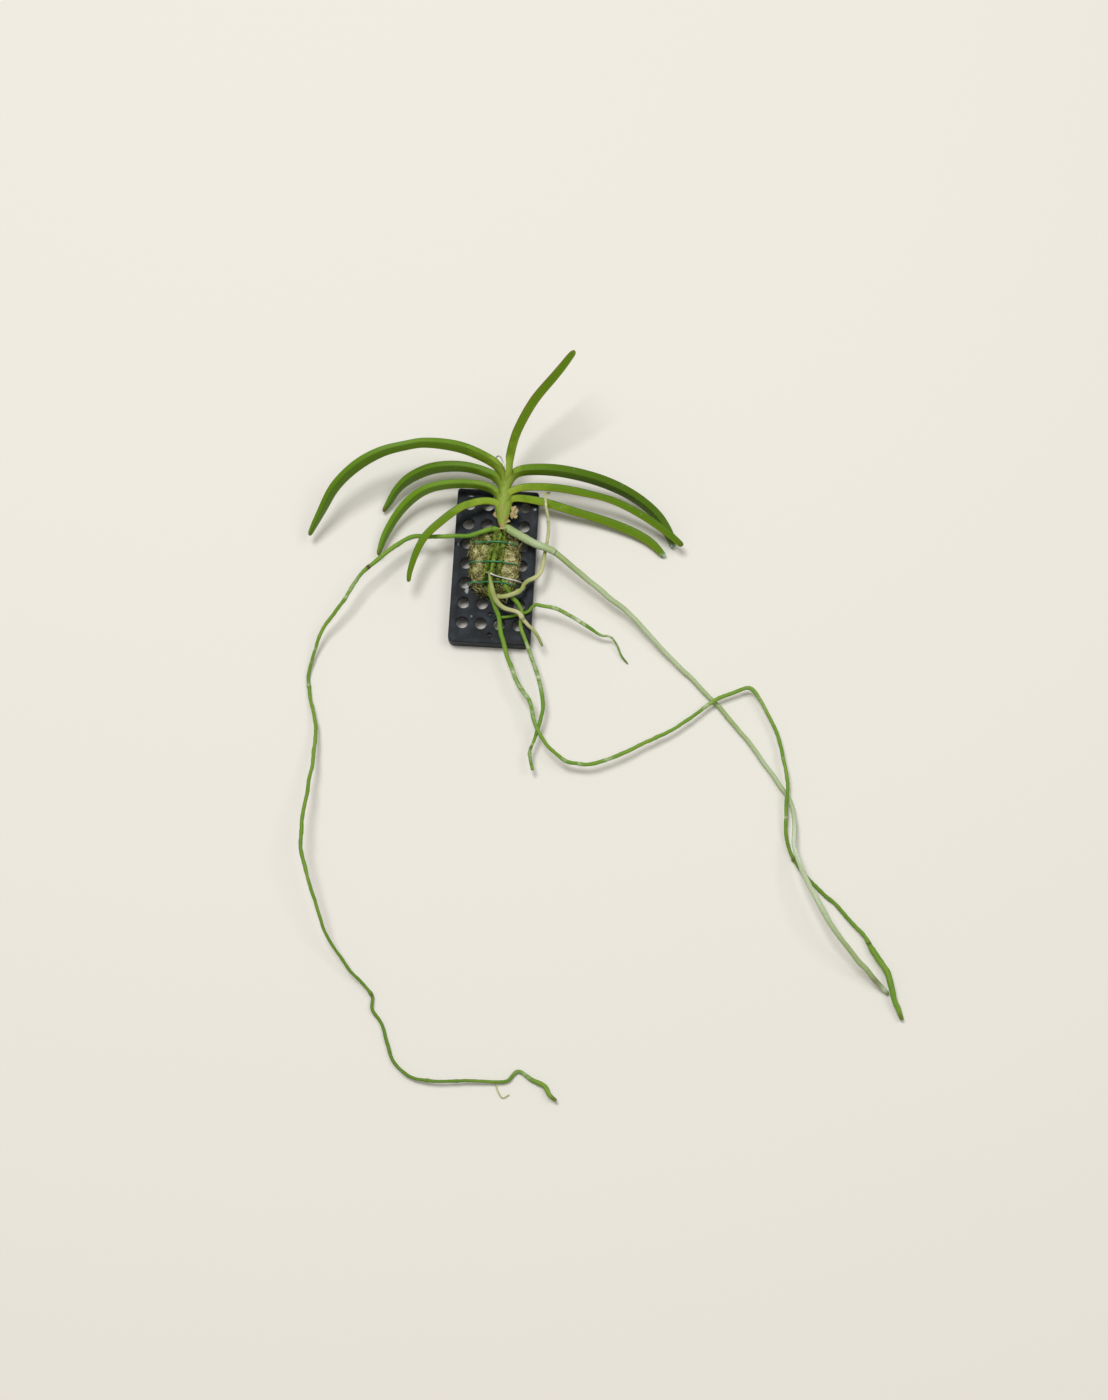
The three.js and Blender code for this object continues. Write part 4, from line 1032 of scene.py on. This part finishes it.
def moss_strands(count, thickness, length, raised, seed, steps=9):
    """Loose curled strands over the pad's top and down its side, with painted shade: paler where
    they lie on top, darker where they lie deep among the others.
    """
    draw = drawing(seed, count)
    angle = draw(-np.pi, np.pi)
    share = np.sqrt(draw(0, 1.08))
    centre = np.array(MOSS["centre"])
    start = centre + np.hstack([np.cos(angle), np.sin(angle)]) * (share * moss_reach(angle))
    length = length * draw(0.6, 1.5)
    heading, bend = draw(-np.pi, np.pi), draw(0, 0.55, kind="normal")
    x, y, t = wander(draw, start, heading, length, bend, steps)
    _, away = moss_height(x, y)
    limit = draw(0.9, 1.02) + 0.3 * draw(0, 1) ** 14
    pull = np.where(away > limit, (limit + 0.25 * np.minimum(away - limit, 0.3)) / away, 1)
    x, y = centre[0] + (x - centre[0]) * pull, centre[1] + (y - centre[1]) * pull
    top, _ = moss_height(x, y)
    z = tied_down(y, top + (draw(-0.3, 0.8) * np.sin(np.pi * t) + draw(-0.45, 0.35)) + raised, MOSS["loose"])
    thick = thickness * draw(0.5, 1.3) * (1 - 0.5 * t**3) * (1 + 0.2 * np.sin(11 * t + angle * 5))
    clump = 0.36 * grain(lifted(x, y), 2.3, 33)
    # Painted shade: strands lying deeper among the others are darker, those on top paler.
    painted_light_on_top = 0.33 + 0.67 * smooth(z - top - raised, -0.5, 0.55)
    tone_and_painted_shade = clump + draw(2.4, 1.45, kind="beta") * painted_light_on_top
    return strand_skins(x, y, z, thick, tone_and_painted_shade, algae(x, y) * draw(0.2, 1.25))


def side_strands(thickness):
    """Strands on the pad's side, each at its own height, and some that stick out."""
    count = MOSS["side"]
    draw = drawing(6, count)
    t = np.linspace(0, 1, 7)
    angle, length, rise = draw(-np.pi, np.pi), draw(1.0, 2.8), draw(0, 1.1, kind="normal")
    turned = angle + length / 14 * t * draw([-1, 1], kind="choice")
    out = draw(0.93, 1.0) + draw(0, 1) ** 9 * 0.2 * t
    out += draw(-0.1, 0.08) * t
    reach = moss_reach(turned) * out
    x, y = MOSS["centre"][0] + np.cos(turned) * reach, MOSS["centre"][1] + np.sin(turned) * reach
    z = draw(8.8, 14.2) + rise * t * 2 + 0.5 * np.sin(7 * t + angle * 9)
    z = np.clip(z, MOSS["bottom"] + 0.3, 15.0)
    thick = thickness * draw(0.55, 1.2) * (1 - 0.5 * t**3)
    # Painted shade: strands low on the side are darker than those higher up.
    tone_and_painted_shade = draw(2.0, 2.0, kind="beta") * (0.5 + 0.05 * (z - 8))
    return strand_skins(x, y, z, thick, tone_and_painted_shade, algae(x, y) * draw(0, 0.8))


def band_strands():
    """Thick green clumps over the old roots down the pad's middle."""
    count = MOSS["clumps"]
    draw = drawing(7, count)
    start = np.hstack([draw(-4.0, 5.2), draw(27, 52.5)])
    start[:, 0] += (start[:, 1] - 40) * 0.07
    heading = draw([-1, 1], kind="choice") * np.pi / 2 + draw(0, 0.5, kind="normal")
    x, y, t = wander(draw, start, heading, draw(1.2, 3.4), draw(0, 0.35, kind="normal"))
    old_roots = ((-1.9, 0.23), (0.9, 0.11), (4.1, 0.09))
    ridge = sum(np.exp(-(((x - at - (y - 43) * lean) / 1.1) ** 2)) for at, lean in old_roots)
    z = 15.0 + 2.5 * np.clip(ridge, 0, 1) + draw(-0.7, 0.2)
    z = tied_down(y, z + 0.2 * np.sin(np.pi * t), MOSS["ridge"])
    thick = draw(0.2, 0.5) * (1 - 0.5 * t**3) * (1 + 0.25 * np.sin(9 * t + x))
    # Painted shade: clumps lying low are darker, those high on the ridges lighter.
    tone_and_painted_shade = draw(1.5, 1.6, kind="beta") * smooth(z, 14.8, 17.2)
    return strand_skins(x, y, z, thick, tone_and_painted_shade, 0 * x + draw(0.75, 1.0))


def foot_strands():
    """Dark rootlets between the foot of the stem and the top of the pad."""
    count = MOSS["rootlets"]
    draw = drawing(8, count)
    start = np.hstack([draw(1.8, 5.8), draw(54.0, 56.6)])
    heading = -np.pi / 2 + draw(0, 0.5, kind="normal")
    x, y, t = wander(draw, start, heading, draw(2.5, 7.0), draw(0, 0.3, kind="normal"))
    z = draw(13.0, 15.4) + 0.8 * t + 0.4 * np.sin(6 * t + x)
    thick = draw(0.2, 0.4) * (1 - 0.4 * t)
    return strand_skins(x, y, z, thick, draw(0.0, 0.3), 0 * x + draw(0.0, 0.6))


def make_moss(settings):
    """The moss pad: a lumpy cushion with its strands, and the fine fibres that lie over them."""
    thickness = settings.strand_radius / MM
    finish = dry_sphagnum()
    loose = moss_strands(settings.strands, thickness, length=4.2, raised=0, seed=5)
    shells = [moss_cushion(), loose, side_strands(thickness), band_strands(), foot_strands()]
    piece("moss_pad_strands", shells, finish, "dry_moss", ["moss_pad"])
    fine = moss_strands(settings.fibres, 0.62 * thickness, length=2.4, raised=0.15, seed=9, steps=7)
    piece("moss_fine_fibres", [fine], finish, "dry_moss", [])


def make_ties(settings):
    """Three turns of coated wire: over the moss, down through a hole on each side, and under."""
    finish = coated_thread(settings)
    down, under, flat, crown = 11.7, 4.1, MOSS["top"] + 0.6, 18.4
    for name, tie in TIES.items():
        y, hole = tie["y"], tie["hole"]
        points = [
            (-0.4, hole, under), (-9.6, hole, under), (1 - down, hole, under + 0.4), (-down, hole, 7),
            (-down, tie["left"], 12.6), (-9.8, y, flat - 0.1), (-6, y, flat + 0.35),
            (-2.6, y, crown - 0.25), (1.4, y, crown), (4.9, y, crown - 0.2), (7.4, y, flat + 0.5),
            (10.2, y, flat - 0.2), (down, tie["right"], 12.6), (down, hole, 7),
            (down - 1, hole, under + 0.4), (9.6, hole, under), (0.8, hole, under),
        ]
        made = rod(points, lambda s: np.full(len(s), TIE_RADIUS), step=0.5, sides=12)
        piece(name + "_thread", [made], finish, "coated_tie", [name])


def make_hanger():
    """The hanger wire with its hook."""
    made = rod(WIRE, lambda s: np.full(len(s), WIRE_RADIUS), step=0.5, sides=14)
    piece("hanger_hook", [made], galvanised_steel(), "galvanised_wire", ["hanger_wire"])


# ---- Plant ---------------------------------------------------------------------------------------

# Shares of an arm's length at which a leaf's skin has corners, closer towards the margin.
ARM = np.array([0, 0.08, 0.17, 0.27, 0.38, 0.5, 0.62, 0.73, 0.83, 0.91, 0.96, 0.985, 1.0])


def leaf_skin(shape, settings):
    """A folded strap leaf with its clasping sheath.

    The keel line follows the route. From it two arms go out, each an arc: its heading starts at
    the fold angle from the channel's middle and turns inwards by the curvature times the distance.
    In the sheath the fold angle is 90 degrees and the curvature one over the stem's radius, so
    that the arms run round the stem; in the blade they are a shallow V. The skin lies half the
    thickness to either side of the arc.
    """
    cad = np.array(shape["points"])
    stem = np.array(STEM)
    heights = np.arange(shape["foot"], cad[0, 1] - 2.5, 4.0)
    below = np.column_stack([np.interp(heights, stem[:, 1], stem[:, k]) for k in range(3)])
    samples, distance = route(np.vstack([below, cad]))
    length = distance[-1]
    start = distance[np.argmin(np.linalg.norm(samples - cad[0], axis=1))]
    ends = (0.8, 1.7)
    at = stations(length, 0.5, *ends)
    spine = sample(samples, distance, at)
    way, sideways, upward = crossways(spine)
    share = np.clip((at - start) / (length - start), 0, 1)
    heading = np.degrees(np.arccos(np.clip(way[:, 1], -1, 1)))
    free = shape.get("free", 9)
    opened = np.maximum.accumulate(np.maximum(smooth(heading, 16, 66), smooth(at - start, free, free + 9)))
    form = route(np.array(shape["form"]) * (20, 1, 1))[0]
    blade_arm, beside = (np.interp(share * 20, form[:, 0], form[:, k]) for k in (1, 2))
    blade_arm = blade_arm * (1 + 0.02 * grain(lifted(at, 0 * at), 9.0, 41))
    taper = blade_arm / blade_arm.max()
    clasp = shape["clasp"] * np.interp(spine[:, 1], *np.array(FOOT).T) * (0.75 + 0.25 * smooth(at, 0, 4))
    roll = np.radians(shape["roll"]) * opened
    fold = np.radians(90 + (np.degrees(settings.fold) - 90) * opened)
    bow = (1 - opened) / clasp + shape.get("bow", 0.035) * opened
    reach = 0.75 * np.cos(roll) - blade_arm * np.cos(roll - np.radians(31))
    keel = -clasp * (1 - opened) + (reach / 2 + shape["side"] * beside) * opened
    arm = shape.get("wrap", 1.95) * clasp * (1 - opened) + blade_arm * opened
    sheath = 0.28
    thick = (sheath + (settings.keel_half / MM - sheath) * opened) * (0.45 + 0.55 * taper)
    thin = 0.12 + 0.22 * opened

    def arc(reach):
        """Places on the arc at the given distances, and which way its skin faces there."""
        turned = fold[:, None] - bow[:, None] * reach
        u = (np.sin(fold)[:, None] - np.sin(turned)) / bow[:, None]
        w = (np.cos(turned) - np.cos(fold)[:, None]) / bow[:, None]
        return u, w, -np.sin(turned), np.cos(turned)

    def half(x):
        """Half the thickness at shares of an arm, rounded off at the margin."""
        edge = np.sqrt(np.clip(1 - np.clip((x - 0.9) / 0.1, 0, 1) ** 2, 0, 1))
        return (thick[:, None] * (1 - x) + thin[:, None] * x) * edge

    u, w, nu, nw = arc(arm[:, None] * ARM)
    h = half(ARM[None])
    outer = np.stack([u + nu * h, w + nw * h], -1)
    first = (thick / np.tan(np.clip(fold, 0.2, np.pi / 2)))[:, None]
    u, w, nu, nw = arc(first + (arm[:, None] - first) * ARM)
    inner = np.stack([u - nu * h, np.maximum(w - nw * h, 0)], -1)
    inner[:, 0, 1] = 0
    mirror = np.array([1, -1])
    sweep = (np.pi / 2 - fold)[:, None] * np.array([0.5, 0, -0.5])
    ridge = (thick * (1 + 0.3 * opened))[:, None] * np.array([0.85, 1, 0.85])
    keel_arc = np.stack([-np.cos(sweep) * ridge, np.sin(sweep) * ridge], -1)
    loop = np.concatenate([outer[:, ::-1], keel_arc, outer * mirror, (inner * mirror)[:, -2:0:-1],
                           inner[:, :-1]], 1)
    cos, sin = np.cos(roll)[:, None], np.sin(roll)[:, None]
    out = shape["side"] * (keel[:, None] + loop[..., 0] * cos - loop[..., 1] * sin)
    rise = loop[..., 0] * sin + loop[..., 1] * cos
    rings = spine[:, None] + sideways[:, None] * out[..., None] + upward[:, None] * rise[..., None]
    across = np.r_[ARM[::-1], 0, 0, 0, ARM, ARM[-2:0:-1], ARM[:-1]]
    channel = np.r_[np.zeros(2 * len(ARM) + 3), np.ones(2 * len(ARM) - 3)]
    facing = np.r_[np.ones(len(ARM)), np.zeros(3 * len(ARM))]
    rings -= way[:, None] * (shape["slant"] * across * smooth(at, length - 9, length)[:, None])[..., None]
    centre = rings.mean(axis=1, keepdims=True)
    rings = centre + (rings - centre) * rounding(at, length, *ends)[:, None, None]
    rings[..., 2] = np.maximum(rings[..., 2], 0.15)
    side = np.r_[-ARM[::-1], 0, 0, 0, ARM, 4 - ARM[-2:0:-1], 4 + ARM[:-1], 5] * 5 * MM
    grown = smooth(share, 0.1, 0.4)[:, None]
    layers = {
        "along": (share * (1 - shape.get("fresh", 0)))[:, None], "across": across, "inner": channel,
        "clasp": (1 - smooth(opened, 0.35, 1.0))[:, None],
        "pale": (smooth(at, length - 3.2, length - 0.6) * shape.get("pale", 0))[:, None],
        "brown": (smooth(at, length - 3.5, length - 0.8) * shape["brown"])[:, None],
        # Painted light: a grown blade is lighter or darker by its shade value.
        "shade": 1 + shape.get("shade", 0) * grown,
        "rosy": shape.get("rosy", 0) * grown * smooth(across, 0.6, 1.0) * facing,
        "papery": np.maximum(shape.get("papery", 0.25) * smooth(across, 0.84, 0.97),
                             0.8 * smooth(at, 5.0, 1.0)[:, None] * (0.7 + 0.5 * grain(rings, 0.9, 42))),
    }
    return shell(rings, centre[[0, -1], 0], at * MM, side, layers)


def make_leaves(settings):
    """Every leaf, youngest first."""
    finish = leaf_tissue(settings)
    for name, shape in LEAVES.items():
        piece(name + "_blade", [leaf_skin(shape, settings)], finish, "leaf_green", [name])


def make_stem(settings):
    """The stem's core, which shows at its foot below the oldest sheaths."""
    at, radii = np.array(STEM_RADII).T
    total = route(STEM)[1][-1]

    def radius(s):
        """Radius at a distance from the foot."""
        return np.interp(s / total, at, radii)

    layers = {key: (lambda s: 0 * s) for key in LEAF_LAYERS}
    layers["clasp"] = layers["shade"] = lambda s: 1 + 0 * s
    layers["papery"] = lambda s: 0.9 * smooth(s, 5.0, 1.0)
    made = rod(STEM, radius, step=0.4, sides=24, layers=layers,
               relief=lambda s, spot: 0.12 * grain(spot, 1.6, 51))
    material = leaf_tissue(settings)
    material.name = "stem_green_core"
    piece("stem_core", [made], material, "stem_green", ["stem"])


def scrap_skin(width, points, seed):
    """A torn papery scrap: a curled strip along its way, ragged at both edges, crumpled by noise."""
    samples, distance = route(points)
    length = distance[-1]
    step, half_sheet = 0.25, 0.11
    at = stations(length, step, step, step)
    spine = sample(samples, distance, at)
    _, sideways, upward = crossways(spine)
    x = np.linspace(-1, 1, 15)
    bulge = 0.55 + 0.45 * np.sin(np.pi * np.clip(at / length, 0.05, 0.95))
    ragged = 1 + 0.35 * grain(lifted(at, 0 * at), 0.8, seed)
    half = (width / 2 * bulge * ragged)[:, None]
    curl = 0.5 * half * (x**2 - 0.4)
    line = spine[:, None] + sideways[:, None] * (half * x)[..., None] + upward[:, None] * curl[..., None]
    line += 0.38 * np.stack([grain(line, 0.9, seed + k) for k in (1, 2, 3)], -1)
    thick = upward[:, None] * (half_sheet * np.sqrt(np.clip(1 - x**6, 0, 1)))[:, None]
    rings = np.concatenate([line + thick, (line - thick)[:, -2:0:-1]], axis=1)
    centre = rings.mean(axis=1, keepdims=True)
    around = np.arange(rings.shape[1] + 1) * 0.3 * MM
    return shell(rings, centre[[0, -1], 0], at * MM, around)


def make_bracts():
    """Dried sheath remains beside the foot of the stem."""
    finish = papery_bract()
    for index, (name, scraps) in enumerate(SCRAPS.items()):
        shells = [scrap_skin(*scrap, 61 + 20 * index + 5 * k) for k, scrap in enumerate(scraps)]
        nodes = [name] if name.startswith("dried") else []
        piece(name + "_paper", shells, finish, "dried_bract", nodes)


def root_skin(shape, lumpiness, seed):
    """A root: a rod whose radius follows its pairs, swells at its marks and is lumpy by noise."""
    share, radii = np.array(shape["radii"]).T
    total = route(shape["points"])[1][-1]

    def spread(kind, s):
        """Sum of the marks of a kind at a distance, each fading over its reach."""
        return sum((amount * np.exp(-(((s - at) / reach) ** 2)) for at, reach, amount in shape.get(kind, ())),
                   0 * s)

    def radius(s):
        """Radius at a distance from the plant."""
        return np.interp(s / total, share, radii) + spread("swell", s)

    def relief(s, spot):
        """Height of the lumps on the skin."""
        size = radius(s)[:, None] * shape["lumps"] * lumpiness
        return size * (grain(spot, 2.6, seed) + 0.8 * grain(spot, 1.1, seed + 1))

    layers = {kind: (lambda s, kind=kind: np.clip(spread(kind, s), 0, 1)) for kind in ROOT_LAYERS}
    return rod(shape["points"], radius, step=0.55, sides=18, relief=relief, layers=layers,
               sway=shape.get("sway", 0))


def make_roots(settings):
    """Every aerial root, with the finish of its kind."""
    finishes = {
        "silver_root": velamen("silver_root_velamen", settings.silver, "#96ab6e", "#cdd9c6",
                               streaks=0.4, roughness=0.5, flecked=False),
        "green_root": velamen("green_root_velamen", settings.green, "#648e26", "#cfd8bc",
                              streaks=0.9, roughness=0.5),
        "pale_root": velamen("pale_root_velamen", settings.pale, "#98a35c", "#dedcba",
                             streaks=0.6, roughness=0.75),
        "old_root": velamen("old_root_algae", "#7d9038", "#4a6417", "#b0ad72", streaks=1.0, roughness=0.8),
    }
    for index, (name, shape) in enumerate(ROOTS.items()):
        made = root_skin(shape, settings.lumpiness, 101 + 7 * index)
        slot = shape.get("slot", shape["finish"])
        piece(name + "_skin", [made], finishes[shape["finish"]], slot, [name])


# ---- Stage ---------------------------------------------------------------------------------------


FLOOR = {"half": 3.0, "drop": 0.0003}
LAMP_AIM = (0.02, -0.03, 0.0)
# Each lamp's place and size in metres, and its share of the lamps' power.
LAMPS = {"key_above": ((-0.45, 0.5, 2.4), 0.8, 1.0), "fill_right": ((1.1, 0.3, 2.3), 1.2, 0.35)}
# Places and lens in millimetres, clip in metres; tilt is how far the view is turned, in degrees.
CAMERA = {
    "spot": (48.1, -277.1, 1107.8), "target": (33.6, -25.8, 0), "tilt": 3.3, "lens": 59.35, "film": 36,
    "clip": (0.01, 20.0),
}


def make_stage(settings):
    """A plain pale floor, plain soft light and the camera above the plant."""
    floor = bpy.data.meshes.new("floor")
    far, corners = FLOOR["half"], ((-1, -1), (1, -1), (1, 1), (-1, 1))
    floor.from_pydata([(x * far, y * far, -FLOOR["drop"]) for x, y in corners], [], [(0, 1, 2, 3)])
    paper = dict(Base_Color=settings.floor, Roughness=0.9, Specular_IOR_Level=0.1)
    floor.materials.append(new_surface("floor_paper", **paper)[0])
    ground = bpy.data.objects.new("floor", floor)
    bpy.context.collection.objects.link(ground)

    scene = bpy.context.scene
    scene.world = bpy.data.worlds.new("soft_sky")
    scene.world.use_nodes = True
    sky = scene.world.node_tree.nodes["Background"]
    sky.inputs["Color"].default_value = rgba("#fffaf0")
    sky.inputs["Strength"].default_value = settings.sky
    for name, (spot, size, power) in LAMPS.items():
        light = bpy.data.lights.new(name, "AREA")
        light.size = size
        light.energy = settings.lamps * power
        lamp = bpy.data.objects.new(name, light)
        aim = Vector(LAMP_AIM) - Vector(spot)
        lamp.matrix_world = Matrix.Translation(spot) @ aim.to_track_quat("-Z", "Y").to_matrix().to_4x4()
        bpy.context.collection.objects.link(lamp)

    spot, target = np.array(CAMERA["spot"]) * MM, np.array(CAMERA["target"]) * MM
    ahead = unit(target - spot)
    tilt = np.radians(CAMERA["tilt"])
    level = np.array([np.cos(tilt), np.sin(tilt), 0.0])
    right = unit(level - ahead * (level @ ahead))
    up = np.cross(right, ahead)
    lens = bpy.data.cameras.new("camera")
    lens.lens, lens.sensor_width = CAMERA["lens"], CAMERA["film"]
    lens.clip_start, lens.clip_end = CAMERA["clip"]
    camera = bpy.data.objects.new("camera", lens)
    camera.matrix_world = Matrix([[right[k], up[k], -ahead[k], spot[k]] for k in range(3)] + [[0, 0, 0, 1]])
    bpy.context.collection.objects.link(camera)
    scene.camera = camera
    scene.view_settings.view_transform = "Standard"


# ---- Add-on --------------------------------------------------------------------------------------


def colour(name, description, code):
    """A colour setting with its default."""
    return FloatVectorProperty(name=name, description=description, default=linear(code), size=3,
                               min=0.0, max=1.0, subtype="COLOR")


class HolderSettings(bpy.types.PropertyGroup):
    """What a user may change on the plaque, moss and ties."""

    plastic: colour("Plastic", "Colour of the moulded plaque", "#0d0f11")
    tie: colour("Tie", "Colour of the ties' coating", "#1c6a42")
    strands: IntProperty(name="Moss strands", description="Number of loose strands", default=1900,
                         min=100, max=2400)
    fibres: IntProperty(name="Moss fibres", description="Number of fine fibres", default=3000,
                        min=100, max=4500)
    strand_radius: FloatProperty(name="Strand radius", description="Half thickness of a moss strand",
                                 default=0.3 * MM, min=0.1 * MM, max=0.6 * MM, unit="LENGTH")


class LeafSettings(bpy.types.PropertyGroup):
    """What a user may change on the leaves and stem."""

    fold: FloatProperty(name="Fold", description="Angle of each arm from the channel's middle",
                        default=float(np.radians(36)), min=0.2, max=1.4, subtype="ANGLE")
    keel_half: FloatProperty(name="Keel half thickness", description="Half the blade's thickness at the keel",
                             default=0.66 * MM, min=0.3 * MM, max=1.0 * MM, unit="LENGTH")
    leaf_base: colour("Leaf base", "Colour where a blade leaves the stem", "#93ab3a")
    leaf_blade: colour("Leaf blade", "Colour of the grown blade", "#56790f")
    sheath: colour("Sheath", "Colour of the clasping sheaths", "#869c39")


class RootSettings(bpy.types.PropertyGroup):
    """What a user may change on the roots."""

    lumpiness: FloatProperty(name="Lumpiness", description="How uneven the roots are", default=1.0,
                             min=0.0, max=2.0)
    silver: colour("Silver root", "Dry skin of the main root", "#abbb8c")
    green: colour("Green root", "Dry skin of the green roots", "#7c9d36")
    pale: colour("Pale root", "Skin of the old pale roots", "#d3cfa2")


class StageSettings(bpy.types.PropertyGroup):
    """What a user may change on the stage."""

    floor: colour("Floor", "Colour of the floor", "#e6e3dc")
    sky: FloatProperty(name="Sky", description="Strength of the even light", default=0.33, min=0.0, max=5.0)
    lamps: FloatProperty(name="Lamps", description="Power of the soft lamps", default=38.0, min=0.0,
                         max=500.0, subtype="POWER")


class MakePlaque(bpy.types.Operator):
    """Make the perforated plaque"""

    bl_idname = "orchid.plaque"
    bl_label = "Plaque"

    def execute(self, context):
        make_plaque(context.scene.orchid_holder)
        return {"FINISHED"}


class MakeMoss(bpy.types.Operator):
    """Make the moss pad"""

    bl_idname = "orchid.moss"
    bl_label = "Moss pad"

    def execute(self, context):
        make_moss(context.scene.orchid_holder)
        return {"FINISHED"}


class MakeTies(bpy.types.Operator):
    """Make the three ties"""

    bl_idname = "orchid.ties"
    bl_label = "Ties"

    def execute(self, context):
        make_ties(context.scene.orchid_holder)
        return {"FINISHED"}


class MakeHanger(bpy.types.Operator):
    """Make the hanger wire"""

    bl_idname = "orchid.hanger"
    bl_label = "Hanger wire"

    def execute(self, context):
        make_hanger()
        return {"FINISHED"}


class MakeStem(bpy.types.Operator):
    """Make the stem"""

    bl_idname = "orchid.stem"
    bl_label = "Stem"

    def execute(self, context):
        make_stem(context.scene.orchid_leaf)
        return {"FINISHED"}


class MakeLeaves(bpy.types.Operator):
    """Make the leaves with their sheaths"""

    bl_idname = "orchid.leaves"
    bl_label = "Leaves"

    def execute(self, context):
        make_leaves(context.scene.orchid_leaf)
        return {"FINISHED"}


class MakeBracts(bpy.types.Operator):
    """Make the dried sheath remains"""

    bl_idname = "orchid.bracts"
    bl_label = "Dried bracts"

    def execute(self, context):
        make_bracts()
        return {"FINISHED"}


class MakeRoots(bpy.types.Operator):
    """Make the aerial roots"""

    bl_idname = "orchid.roots"
    bl_label = "Roots"

    def execute(self, context):
        make_roots(context.scene.orchid_root)
        return {"FINISHED"}


class MakeStage(bpy.types.Operator):
    """Make the floor, the light and the camera"""

    bl_idname = "orchid.stage"
    bl_label = "Stage"

    def execute(self, context):
        make_stage(context.scene.orchid_stage)
        return {"FINISHED"}


MAKERS = (MakePlaque, MakeMoss, MakeTies, MakeHanger, MakeStem, MakeLeaves, MakeBracts, MakeRoots, MakeStage)


class OrchidPanel(bpy.types.Panel):
    """Settings and steps of the orchid"""

    bl_idname = "VIEW3D_PT_orchid"
    bl_label = "Mounted orchid"
    bl_space_type = "VIEW_3D"
    bl_region_type = "UI"
    bl_category = "Orchid"

    def draw(self, context):
        for name, kind in GROUPS.items():
            box = self.layout.box()
            for key in kind.__annotations__:
                box.prop(getattr(context.scene, name), key)
        for maker in MAKERS:
            self.layout.operator(maker.bl_idname)


GROUPS = {
    "orchid_holder": HolderSettings, "orchid_leaf": LeafSettings, "orchid_root": RootSettings,
    "orchid_stage": StageSettings,
}


def register():
    """Registers the classes and hangs the settings on the scene."""
    for kind in (*GROUPS.values(), *MAKERS, OrchidPanel):
        bpy.utils.register_class(kind)
    for key, group in GROUPS.items():
        setattr(bpy.types.Scene, key, PointerProperty(type=group))


def unregister():
    """Takes the settings and the classes away again."""
    for key in GROUPS:
        delattr(bpy.types.Scene, key)
    for kind in (OrchidPanel, *reversed(MAKERS), *reversed(GROUPS.values())):
        bpy.utils.unregister_class(kind)


def main():
    """Makes every piece in order."""
    register()
    bpy.ops.orchid.plaque()
    bpy.ops.orchid.moss()
    bpy.ops.orchid.ties()
    bpy.ops.orchid.hanger()
    bpy.ops.orchid.stem()
    bpy.ops.orchid.leaves()
    bpy.ops.orchid.bracts()
    bpy.ops.orchid.roots()
    bpy.ops.orchid.stage()


if __name__ == "__main__":
    main()
